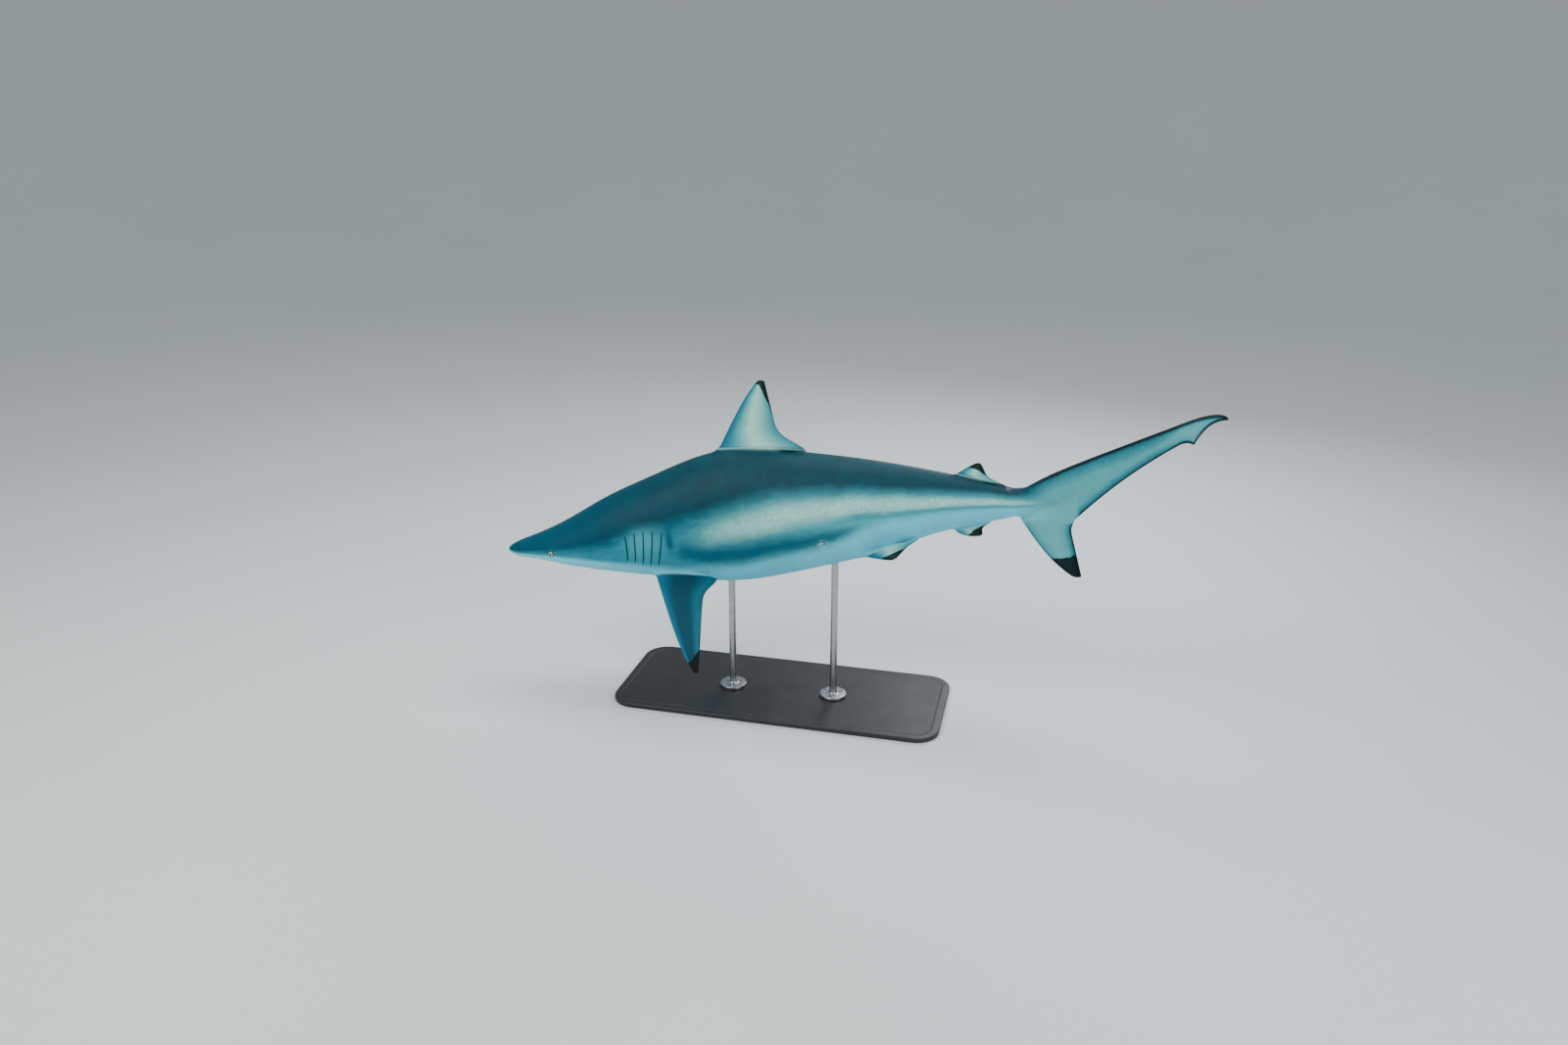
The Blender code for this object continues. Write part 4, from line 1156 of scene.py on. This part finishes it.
def describe_tail(own, tip, margin, kinds, frame):
    """The same for the upper lobe of the tail."""
    place, _, height = own.T
    behind = place > CAUDAL_START - 0.01
    kinds["caudal"] *= ease(place, CAUDAL_START - 0.002, CAUDAL_START + 0.020)
    full = ease(place, CAUDAL_START - 0.004, CAUDAL_START + 0.060)
    kinds["caudal"][behind] = np.maximum(kinds["caudal"], full)[behind]
    upper_lobe = (place > CAUDAL_START) & (height > tail_bottom(place) - 0.002)
    top_gap = (upper_edge(place) - height) / MM
    rear_gap = (height - tail_bottom(place)) / MM * 0.75
    rear_share = 1.0 - 0.35 * ease(place, *REAR_RIM_WIDENS)
    gap = np.minimum(top_gap * 0.48, rear_gap * rear_share + 3 * np.maximum(REAR_RIM_START - place, 0.0) / MM)
    margin[upper_lobe] = np.minimum(margin, gap)[upper_lobe]
    reach = (place - BLACK_TIP_START) / MM
    tip[upper_lobe] = np.maximum(tip, reach)[upper_lobe]
    frame[upper_lobe, 1] = ((place - CAUDAL_START) / (TAIL_END - CAUDAL_START))[upper_lobe]
    frame[upper_lobe, 0] = (top_gap / np.maximum(top_gap + rear_gap, 1.0))[upper_lobe]


# ---------------------------------------------------------------- materials


def srgb(red, green, blue):
    """A screen colour, 0 to 255, as the linear colour that a shader takes."""
    return tuple(((level / 255 + 0.055) / 1.055) ** 2.4 for level in (red, green, blue)) + (1.0,)


class Value:
    """A node's output, which takes part in sums as a number does."""

    def __init__(self, shader, socket):
        self.shader, self.socket = shader, socket

    def __radd__(self, other):
        return self.shader.math("ADD", other, self)

    def __abs__(self):
        return self.shader.math("ABSOLUTE", self)

    def parts(self):
        made = self.shader.add("ShaderNodeSeparateXYZ", {0: self})
        return [Value(self.shader, socket) for socket in made.outputs]

    def stretched(self, scale):
        return self.shader.node("ShaderNodeMapping", {"Vector": self, "Scale": scale})

    def noise(self, scale, detail=3.0, rough=0.55, distortion=0.0):
        return self.shader.node("ShaderNodeTexNoise", {"Vector": self, "Scale": scale, "Detail": detail,
                                                       "Roughness": rough, "Distortion": distortion})

    def cells(self, scale):
        """Distance to the nearest of scattered points, about 0 to 0.8."""
        return self.shader.node("ShaderNodeTexVoronoi", {"Vector": self, "Scale": scale})

    def step(self, start, end, low=0.0, high=1.0):
        """A smooth step from low to high as the value goes from start to end."""
        return self.shader.node("ShaderNodeMapRange", {"Value": self, "From Min": start, "From Max": end,
                                                       "To Min": low, "To Max": high},
                                interpolation_type="SMOOTHSTEP")

    def hump(self, middle, width):
        """1 at the middle value, falling smoothly to 0 at a width either side."""
        return abs(self - middle).step(width, 0.0)

    def curve(self, *points, top=1.0):
        """A smooth function of a value from 0 to 1, through points whose heights are 0 to top."""
        made = self.shader.add("ShaderNodeFloatCurve", {"Value": self})
        line = made.mapping.curves[0]
        while len(line.points) < len(points):
            line.points.new(0.5, 0.5)
        for spot, (across, height) in zip(line.points, points):
            spot.location = (across, height / top)
            spot.handle_type = "AUTO_CLAMPED"
        made.mapping.update()
        return Value(self.shader, made.outputs[0]) * top

    def ramp(self, *stops):
        made = self.shader.add("ShaderNodeValToRGB", {0: self})
        bar = made.color_ramp.elements
        while len(bar) < len(stops):
            bar.new(0.5)
        for stop, (place, colour) in zip(bar, stops):
            stop.position = place
            stop.color = srgb(*colour)
        return Value(self.shader, made.outputs[0])

    def mix(self, first, second):
        """The first colour where the value is 0, the second where it is 1."""
        return self.shader.mix(self, first, second)


def add_operator(name, operation):
    setattr(Value, name, lambda self, other: self.shader.math(operation, self, other))


for pair in (("__add__", "ADD"), ("__sub__", "SUBTRACT"), ("__mul__", "MULTIPLY"), ("__truediv__", "DIVIDE"),
             ("__pow__", "POWER")):
    add_operator(*pair)


class Shader:
    """Builds one procedural material, node by node. Inputs are numbers, colours or Values."""

    def __init__(self, name):
        self.material = bpy.data.materials.new(name)
        self.material.use_nodes = True
        self.tree = self.material.node_tree
        self.tree.nodes.clear()
        self.surface = self.add("ShaderNodeBsdfPrincipled")
        output = self.add("ShaderNodeOutputMaterial")
        self.tree.links.new(self.surface.outputs[0], output.inputs[0])

    def add(self, kind, inputs=(), **settings):
        """Add a node and feed its inputs, given by name or number."""
        made = self.tree.nodes.new(kind)
        for name, value in settings.items():
            setattr(made, name, value)
        for name, value in dict(inputs).items():
            self.feed(made.inputs[name], value)
        return made

    def node(self, kind, inputs=(), output=0, **settings):
        return Value(self, self.add(kind, inputs, **settings).outputs[output])

    def feed(self, socket, value):
        if isinstance(value, Value):
            self.tree.links.new(value.socket, socket)
        else:
            socket.default_value = value

    def math(self, operation, *values, clamp=False):
        return self.node("ShaderNodeMath", enumerate(values), operation=operation, use_clamp=clamp)

    def stored(self, name, output="Fac"):
        return self.node("ShaderNodeAttribute", output=output, attribute_name=name)

    def place(self):
        return self.node("ShaderNodeTexCoord", output="Object")

    def mix(self, share, first, second, blend="MIX"):
        inputs = {0: share, 6: first, 7: second}
        return self.node("ShaderNodeMix", inputs, 2, data_type="RGBA", blend_type=blend)

    def most(self, first, *others):
        for value in others:
            first = self.math("MAXIMUM", first, value)
        return first

    def bump(self, height, distance):
        self.feed(self.surface.inputs["Normal"],
                  self.node("ShaderNodeBump", {"Distance": distance, "Height": height}))

    def finish(self, colour, roughness, **settings):
        for name, value in {"Base_Color": colour, "Roughness": roughness, **settings}.items():
            self.feed(self.surface.inputs[name.replace("_", " ")], value)
        return self.material


DORSUM = srgb(0, 60, 72)
HEAD_TOP = srgb(0, 68, 88)
DORSUM_DARK = srgb(0, 54, 66)
MID_FLANK = srgb(12, 114, 138)
FLANK_STREAK = srgb(70, 150, 156)
PALE_FLANK = srgb(70, 164, 174)
HIGHLIGHT = srgb(156, 214, 202)
GLINT = srgb(232, 240, 220)
TROUGH = srgb(40, 126, 140)
WEDGE = srgb(10, 84, 104)
BELLY = srgb(98, 204, 226)
BELLY_SHADE = srgb(92, 174, 190)
# partly the pale underside's own colour, partly a painted highlight along the lower edge of the head
CHIN_PALE_AND_HIGHLIGHT = srgb(120, 222, 240)
GILL_PANEL = srgb(78, 160, 174)
# painted shadow behind the last gill slit; the same dark also tints the lateral line
GILL_SHADOW_AND_LINE = srgb(4, 58, 70)
FIN_UNDERSIDE = srgb(84, 164, 178)
# painted highlight along the fillets at the fin roots
FIN_ROOT_HIGHLIGHT = srgb(180, 230, 226)
HEALED = srgb(196, 226, 222)
SMUDGE = srgb(24, 84, 92)
BLACK = srgb(4, 7, 10)
# painted shade inside slits, mouth, nostrils, eye rims and pores
PAINTED_RECESS_SHADE = srgb(3, 12, 16)


def body_colour(own, spots):
    """Dark back, pale flank band with a painted highlight, glitter and glints along its crest, the dark wedge
    that cuts into it, the pale belly, and painted shadow behind the gills.
    """
    place = own.parts()[0] / LENGTH
    broad = own.noise(9.0)
    streaks = own.stretched((5.0, 14.0, 22.0)).noise(3.0, 4.0, 0.6)
    girth = own.shader.stored("girth") + (broad - 0.5) * 9.0 + (streaks - 0.5) * 7.0
    dorsum = spots.step(0.38, 0.66).mix(DORSUM_DARK, DORSUM)
    dorsum = place.step(0.30, 0.04).mix(dorsum, HEAD_TOP)
    brightness = place.curve((0.0, 0.22), (0.10, 0.26), (0.16, 0.10), (0.20, 0.30), (0.25, 0.12),
                             (0.31, 0.50), (0.38, 0.95), (0.62, 1.0), (0.74, 0.85), (1.0, 0.6))
    flank = brightness.mix(MID_FLANK, PALE_FLANK)
    flank = streaks.step(0.42, 0.72, 0.0, 0.35).mix(flank, FLANK_STREAK)
    start = place.curve((0.0, 68.0), (0.14, 70.0), (0.21, 62.0), (0.28, 60.0), (0.36, 53.0), (0.43, 47.0),
                        (0.60, 45.0), (0.73, 34.0), (1.0, 30.0), top=90.0)
    end = place.curve((0.0, 92.0), (0.14, 94.0), (0.21, 80.0), (0.28, 84.0), (0.36, 83.0), (0.43, 76.0),
                      (0.60, 74.0), (0.73, 74.0), (1.0, 70.0), top=110.0)
    colour = girth.step(start, end).mix(dorsum, flank)
    # painted highlight: a bright band with glitter and painted glints along the crest of the flank band,
    # where the flank faces the light
    crest = place.curve((0.0, 88.0), (0.25, 88.0), (0.31, 86.0), (0.36, 82.0), (0.42, 78.0), (0.50, 75.0),
                        (1.0, 75.0), top=100.0)
    shine = place.curve((0.0, 0.0), (0.24, 0.0), (0.31, 0.36), (0.37, 0.82), (0.46, 1.0), (0.68, 0.95),
                        (0.76, 0.7), (0.80, 0.0), (1.0, 0.0))
    glitter = own.stretched((150.0, 150.0, 420.0)).noise(1.0, 3.0, 0.7).step(0.36, 0.64, 0.66, 1.0)
    band = girth.hump(crest, 17.0) * shine
    colour = (band * glitter).mix(colour, HIGHLIGHT)
    glints = own.stretched((220.0, 220.0, 90.0)).noise(1.0, 3.0, 0.7).step(0.50, 0.68)
    colour = (girth.hump(crest, 12.0) * shine * glints * 0.55).mix(colour, GLINT)
    trough = girth.hump(88.5, 6.5) * place.step(0.44, 0.52) * place.step(0.76, 0.70)
    colour = (trough * 0.55).mix(colour, TROUGH)
    middle = place.curve((0.0, 96.0), (0.26, 98.0), (0.31, 105.0), (0.38, 106.0), (0.48, 105.0), (1.0, 104.0),
                         top=120.0)
    strength = place.curve((0.0, 0.0), (0.235, 0.0), (0.265, 0.85), (0.31, 1.0), (0.44, 0.95), (0.53, 0.55),
                           (0.58, 0.0), (1.0, 0.0))
    width = place.curve((0.0, 20.0), (0.30, 23.0), (0.40, 24.0), (0.48, 18.0), (0.55, 10.0), (1.0, 8.0),
                        top=26.0)
    colour = (girth.hump(middle, width) * strength).mix(colour, WEDGE)
    under = place.curve((0.0, 84.0), (0.08, 88.0), (0.14, 98.0), (0.22, 108.0), (0.30, 112.0), (0.45, 110.0),
                        (0.56, 88.0), (1.0, 86.0), top=130.0)
    belly = broad.step(0.35, 0.70, 0.0, 0.30).mix(BELLY, BELLY_SHADE)
    # paler still under the head: partly its own colour, partly a painted highlight along its lower edge
    belly = place.step(0.24, 0.12, 0.0, 0.5).mix(belly, CHIN_PALE_AND_HIGHLIGHT)
    colour = girth.step(under, under + 18.0).mix(colour, belly)
    panel = place.hump(0.214, 0.040) * girth.hump(80.0, 22.0)
    colour = (panel * 0.50).mix(colour, GILL_PANEL)
    # painted shadow behind the last gill slit
    gill_shadow = place.hump(0.2490, 0.0095) * girth.hump(84.0, 20.0)
    return (gill_shadow * 0.75).mix(colour, GILL_SHADOW_AND_LINE), place, girth


def fin_colours(own, frame, weave):
    """Colours of the fins of the back and belly, of the paired fins and of the tail."""
    chord, _, upper = frame.parts()
    rays = frame.stretched((60.0, 5.0, 0.0)).noise(1.0, 4.0, 0.65)
    spread = chord + (rays - 0.5) * 0.12
    upright = spread.ramp((0.0, (8, 96, 122)), (0.13, (40, 132, 150)), (0.28, (104, 188, 186)),
                          (0.44, (168, 224, 208)), (0.62, (146, 212, 200)), (0.85, (84, 166, 170)),
                          (1.0, (44, 126, 140)))
    above = spread.ramp((0.0, (4, 108, 136)), (0.12, (0, 86, 112)), (0.28, (0, 58, 78)), (0.62, (0, 58, 78)),
                        (0.86, (14, 92, 112)), (1.0, (8, 80, 96)))
    below = rays.step(0.4, 0.75, 0.0, 0.4).mix(BELLY, FIN_UNDERSIDE)
    paired = upper.step(-0.5, 0.5).mix(below, above)
    along = own.parts()[0] / LENGTH
    reach = along.curve((0.0, 40.0), (0.86, 40.0), (0.92, 22.0), (0.94, 12.0), (1.0, 10.0), top=50.0)
    depth = own.shader.stored("margin") / reach + (weave - 0.5) * 0.14
    tail = depth.ramp((0.0, (4, 64, 78)), (0.17, (36, 118, 132)), (0.42, (76, 160, 166)),
                      (0.9, (94, 172, 174)))
    return upright, paired, tail, rays


def scattered_dots(own, place, girth):
    """Sensory pores on the snout, denser below it than above."""
    seen = own.shader.most(girth.step(95.0, 110.0), girth.step(70.0, 55.0, 0.0, 0.6))
    patches = own.noise(45.0, 1.0).step(0.46, 0.54)
    return own.cells(210.0).step(0.20, 0.12) * patches * place.step(0.095, 0.030) * seen


def skin_material():
    shader = Shader("shark_skin")
    own = shader.stored("own_axes", "Vector")
    frame = shader.stored("fin_frame", "Vector")
    median, on_paired, caudal = (shader.stored(kind) for kind in ("median", "paired", "caudal"))
    mottle = own.noise(26.0, 5.0, 0.62, 0.4)
    grain = own.noise(420.0, 3.0, 0.6)
    colour, place, girth = body_colour(own, mottle)
    weave = own.stretched((160.0, 160.0, 160.0)).noise(1.0, 3.0, 0.6)
    wander = shader.stored("lateral") + (mottle - 0.5) * 2.0
    line = wander.hump(0.0, 1.5) * place.step(0.25, 0.30) * place.step(0.72, 0.66)
    line = line * own.noise(60.0, 2.0).step(0.30, 0.55)
    colour = (line * 0.22).mix(colour, GILL_SHADOW_AND_LINE)
    # painted shade in the sensory pores
    colour = (scattered_dots(own, place, girth) * 0.65).mix(colour, PAINTED_RECESS_SHADE)
    upright, paired, tail, rays = fin_colours(own, frame, weave)
    for share, fin_colour in ((median, upright), (on_paired, paired), (caudal, tail)):
        colour = share.mix(colour, fin_colour)
    # painted highlight along the fillets where the fins meet the body
    root = shader.most(median.hump(0.42, 0.30), on_paired.hump(0.42, 0.30))
    colour = (root * 0.32).mix(colour, FIN_ROOT_HIGHLIGHT)
    x, _, z = own.parts()
    ring = ((x - SCAR[0]) ** 2.0 + (z - SCAR[1]) ** 2.0) ** 0.5
    nick = ring.step(0.019, 0.008) * own.noise(260.0, 2.0).step(0.54, 0.60)
    colour = (nick * 0.7).mix(colour, HEALED)
    fine = grain.step(0.25, 0.75, 0.90, 1.06) + mottle.step(0.3, 0.7, -0.05, 0.05)
    shade = shader.node("ShaderNodeCombineColor", {0: fine, 1: fine, 2: fine})
    colour = shader.mix(1.0, colour, shade, "MULTIPLY")
    chord, span, _ = frame.parts()
    smudge = chord.hump(0.34, 0.09) * span.hump(0.42, 0.07) * median * z.step(0.15, 0.17)
    smudge = smudge * own.noise(120.0, 3.0).step(0.40, 0.60)
    colour = (smudge * 0.6).mix(colour, SMUDGE)
    ragged = (own.noise(110.0) - 0.5) * 6.0
    tip = (shader.stored("tip") + ragged).step(-1.8, 2.2)
    on_fin = shader.most(on_paired * span.step(0.50, 0.75), caudal, median * span.step(0.45, 0.60))
    rim = (shader.stored("margin") + ragged * 0.25).step(4.2, 2.0)
    dark = shader.most(tip, rim * on_fin * 0.85)
    colour = (dark * 0.96).mix(colour, BLACK)
    # painted shade deep in the gill slits, mouth line, nostrils and round the eye openings
    colour = (shader.stored("recess_shade") * 0.92).mix(colour, PAINTED_RECESS_SHADE)
    folds = own.stretched((30.0, 60.0, 60.0)).noise(6.0)
    fins = shader.math("SUBTRACT", shader.most(median, on_paired), caudal, clamp=True)
    height = grain * 0.25 + folds * 0.35 + rays * fins * 0.9 + weave * caudal * 0.5 + line * -0.5
    shader.bump(height + own.noise(1500.0, 1.0) * 0.14, 0.0007)
    roughness = 0.40 + mottle * 0.14 + grain * 0.08 + dark * 0.20
    return shader.finish(colour, roughness, Specular_IOR_Level=0.13)


def eye_material():
    """Olive iris with fine fibres and an upright slit pupil, under a clear wet layer."""
    shader = Shader("shark_eye")
    across, up, _ = shader.stored("eye_axes", "Vector").parts()
    far = (across ** 2.0 + up ** 2.0) ** 0.5
    angle = shader.math("ARCTAN2", up, across)
    spoke = shader.node("ShaderNodeCombineXYZ", {0: angle * 9.0, 1: far * 0.35})
    fibres = spoke.noise(1.6, 4.0, 0.7)
    iris = fibres.ramp((0.30, (84, 112, 108)), (0.52, (138, 164, 154)), (0.72, (190, 208, 190)))
    slit = (up / 5.2) ** 2.0 + (across / 2.1) ** 2.0
    for share, colour in ((far.step(5.4, 8.0), (6, 12, 14)), (far.step(8.4, 9.4), (70, 96, 98)),
                          (slit.step(1.6, 1.05), (160, 172, 138)), (slit.step(1.12, 0.95), (3, 5, 7))):
        iris = share.mix(iris, srgb(*colour))
    shader.bump(fibres, 0.0002)
    return shader.finish(iris, 0.32, Coat_Weight=1.0, Coat_Roughness=0.02, Coat_IOR=1.4)


def black_material():
    """Satin black powder coat, with fine orange peel and a little dust."""
    shader = Shader("stand_black")
    dust = shader.place().noise(14.0, 5.0, 0.6)
    colour = dust.step(0.45, 0.8, 0.0, 0.25).mix(srgb(24, 25, 28), srgb(52, 55, 60))
    shader.bump(shader.place().noise(900.0, 2.0) * 0.6, 0.0004)
    return shader.finish(colour, dust.step(0.3, 0.8, 0.36, 0.52))


def steel_material():
    """Steel brushed around the rods."""
    shader = Shader("stand_steel")
    brushed = shader.place().stretched((12.0, 12.0, 1600.0)).noise(1.0, 3.0, 0.6)
    smudge = shader.place().noise(22.0, 4.0)
    colour = brushed.step(0.3, 0.7).mix(srgb(150, 153, 158), srgb(186, 188, 192))
    shader.bump(brushed, 0.0001)
    return shader.finish(colour, 0.20 + brushed * 0.10 + smudge * 0.14, Metallic=1.0)


def floor_material():
    shader = Shader("pale_floor")
    cloud = shader.place().noise(0.8)
    return shader.finish(cloud.mix(srgb(206, 210, 211), srgb(214, 217, 218)), 0.75)


# ---------------------------------------------------------------- eyes and stand


def dressed(name, points, triangles, material, slot, *nodes):
    """Add a piece with its material, attach it to the root and hide the nodes that it stands for."""
    piece = add_object(name, make_mesh(name, points, triangles))
    piece.data.materials.append(material)
    piece.data.shade_smooth()
    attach(piece, "root")
    if nodes:
        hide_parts(*nodes)
    return piece


def make_eye(hand, material):
    """An eyeball, its clear front a little fuller than the rest."""
    centre, rearward, up, outward = eye_frame(hand)
    turns = np.arange(96) * math.tau / 96
    rings = []
    for angle in np.radians(np.concatenate((np.linspace(3.0, 60.0, 30), np.linspace(66.0, 177.0, 18)))):
        radius = EYE_RADIUS + CORNEA_RISE * (1 - float(ease(angle, 0.0, math.radians(44))))
        across = radius * math.sin(angle)
        rings.append(np.column_stack((across * np.cos(turns), across * np.sin(turns),
                                      np.full(96, radius * math.cos(angle)))))
    points, triangles = loft(rings)
    own = centre + (points[:, :1] * rearward + points[:, 1:2] * up + points[:, 2:] * outward) * MM
    name = "eye_right" if hand == 1 else "eye_left"
    eye = dressed("shark_" + name, settle(own), triangles, material, "shark_eye", name)
    set_attribute(eye.data, "eye_axes", points)
    return eye


def rounded_outline(half_length, half_width, radius, steps=12):
    """A rectangle with round corners, seen from above."""
    outline = []
    for quarter in range(4):
        turn = quarter * math.pi / 2
        corner_x = (half_length - radius) * (1 if quarter in (0, 3) else -1)
        corner_y = (half_width - radius) * (1 if quarter in (0, 1) else -1)
        for step in range(steps + 1):
            angle = turn + step / steps * math.pi / 2
            outline.append((corner_x + radius * math.cos(angle), corner_y + radius * math.sin(angle)))
    return np.array(outline)


def make_plate(material):
    """The base plate, with a rounded rim and a groove a finger's width in from it."""
    half_length, half_width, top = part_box("stand_base")[1]
    profile = [(0.0015, 0.0), (0.0, 0.0012)]
    for angle in np.radians(np.linspace(0.0, 90.0, 7)):
        profile.append((PLATE_RIM * (1 - math.cos(angle)), top - PLATE_RIM * (1 - math.sin(angle))))
    for inset, drop in ((0.0180, 0.0), (0.0184, 0.0004), (0.0190, 0.0007), (0.0196, 0.0004), (0.0200, 0.0)):
        profile.append((inset, top - drop))
    rings = []
    for inset, height in profile:
        outline = rounded_outline(half_length - inset, half_width - inset, PLATE_CORNER - inset)
        rings.append(np.column_stack((outline, np.full(len(outline), height))))
    points, triangles = loft(rings)
    plate = dressed("stand_plate", points, triangles, material, "stand_black", "stand_base")
    keep_edges_crisp(plate)
    return plate


def keep_edges_crisp(piece, angle=35.0):
    """Mark the sharp edges so that smooth shading stops at them."""
    form = bmesh.new()
    form.from_mesh(piece.data)
    for edge in form.edges:
        edge.smooth = len(edge.link_faces) == 2 and edge.calc_face_angle(0.0) < math.radians(angle)
    form.to_mesh(piece.data)
    form.free()


def turned(profile, middle, count=72):
    """Rings of a turned piece, from its radii and heights."""
    turns = np.arange(count) * math.tau / count
    return [np.column_stack((middle[0] + radius * np.cos(turns), middle[1] + radius * np.sin(turns),
                             np.full(count, height))) for radius, height in profile]


def make_post(name, material):
    """A rod on a round foot that curves up into it, with three screws in the foot."""
    low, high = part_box(name)
    middle = ((low.x + high.x) / 2, (low.y + high.y) / 2)
    foot = (high.x - low.x) / 2
    floor, top = low.z, high.z
    face = floor + FOOT_HEIGHT
    profile = [(foot - 0.001, floor), (foot, floor + 0.001)]
    for angle in np.radians(np.linspace(0.0, 90.0, 6)):
        profile.append((foot - 0.002 * (1 - math.cos(angle)), face - 0.002 * (1 - math.sin(angle))))
    for angle in np.radians(np.linspace(0.0, 90.0, 8)):
        profile.append((ROD_RADIUS + 0.006 * (1 - math.sin(angle)), face + 0.006 * (1 - math.cos(angle))))
    profile += [(ROD_RADIUS, face + 0.02 + step * 0.02) for step in range(int((top - face - 0.05) / 0.02))]
    profile.append((ROD_RADIUS, top + 0.004))
    points, triangles = loft(turned(profile, middle))
    piece = dressed(name.replace("rod", "post"), points, triangles, material, "stand_steel", name)
    keep_edges_crisp(piece)
    for number in range(3):
        angle = math.radians(30 + 120 * number)
        spot = (middle[0] + SCREW_CIRCLE * math.cos(angle), middle[1] + SCREW_CIRCLE * math.sin(angle))
        make_screw(f"{piece.name}_screw_{number + 1}", spot, face, material)


def make_screw(name, spot, face, material):
    """A low round screw head with a six-sided socket."""
    outer = [(0.0046, face - 0.0006), (0.0046, face + 0.0012), (0.0043, face + 0.0019),
             (0.0036, face + 0.0022)]
    rings = turned(outer, spot, 36)
    turns = np.arange(36) * math.tau / 36
    flat = np.cos(math.pi / 6) / np.cos((turns + math.pi / 6) % (math.pi / 3) - math.pi / 6)
    for reach, height in ((0.0022, face + 0.0022), (0.0021, face + 0.0020), (0.0021, face + 0.0006)):
        rings.append(np.column_stack((spot[0] + reach * flat * np.cos(turns),
                                      spot[1] + reach * flat * np.sin(turns), np.full(36, height))))
    points, triangles = loft(rings)
    screw = dressed(name, points, triangles, material, "stand_steel")
    keep_edges_crisp(screw, 30.0)


# ---------------------------------------------------------------- floor, light and camera


def make_floor():
    """A pale floor that curves up far from the model."""
    turns = np.arange(96) * math.tau / 96
    profile = [(0.5 * step, 0.0) for step in range(1, 14)]
    profile += [(FLOOR_FLAT + FLOOR_CURVE * math.sin(angle), FLOOR_CURVE * (1 - math.cos(angle)))
                for angle in map(math.radians, range(3, 85, 3))]
    rings = [np.column_stack((radius * np.cos(turns), radius * np.sin(turns), np.full(96, height - 0.0002)))
             for radius, height in profile]
    points, triangles = loft(rings)
    bare = [triangle for triangle in triangles if min(triangle) < len(points) - 96]
    floor = add_object("floor", make_mesh("floor", points, bare))
    floor.data.materials.append(floor_material())
    floor.data.shade_smooth()


def aimed(thing, target):
    thing.rotation_euler = (Vector(target) - thing.location).to_track_quat("-Z", "Y").to_euler()


def add_light(name, place, target, size, power, colour):
    lamp = bpy.data.lights.new(name, "AREA")
    lamp.shape = "RECTANGLE"
    lamp.size, lamp.size_y = size
    lamp.energy = power
    lamp.color = colour
    thing = bpy.data.objects.new(name, lamp)
    bpy.context.collection.objects.link(thing)
    thing.location = place
    aimed(thing, target)


def light_and_camera():
    world = bpy.data.worlds.new("studio")
    world.use_nodes = True
    background = world.node_tree.nodes["Background"]
    background.inputs[0].default_value = (0.86, 0.92, 0.95, 1.0)
    background.inputs[1].default_value = 0.6
    bpy.context.scene.world = world
    for light in LIGHTS:
        add_light(*light)
    lens = bpy.data.cameras.new("camera")
    lens.lens = CAMERA_LENS
    camera = bpy.data.objects.new("camera", lens)
    bpy.context.collection.objects.link(camera)
    camera.location = CAMERA_PLACE
    aimed(camera, CAMERA_TARGET)
    bpy.context.scene.camera = camera


# ---------------------------------------------------------------- run


def build():
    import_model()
    skin = make_skin()
    skin.data.materials.append(skin_material())
    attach(skin, "root")
    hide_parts(*FLESH_NODES)
    eye = eye_material()
    for hand in (1, -1):
        make_eye(hand, eye)
    steel = steel_material()
    make_plate(black_material())
    for name in ("stand_rod_front", "stand_rod_rear"):
        make_post(name, steel)
    make_floor()
    light_and_camera()


build()
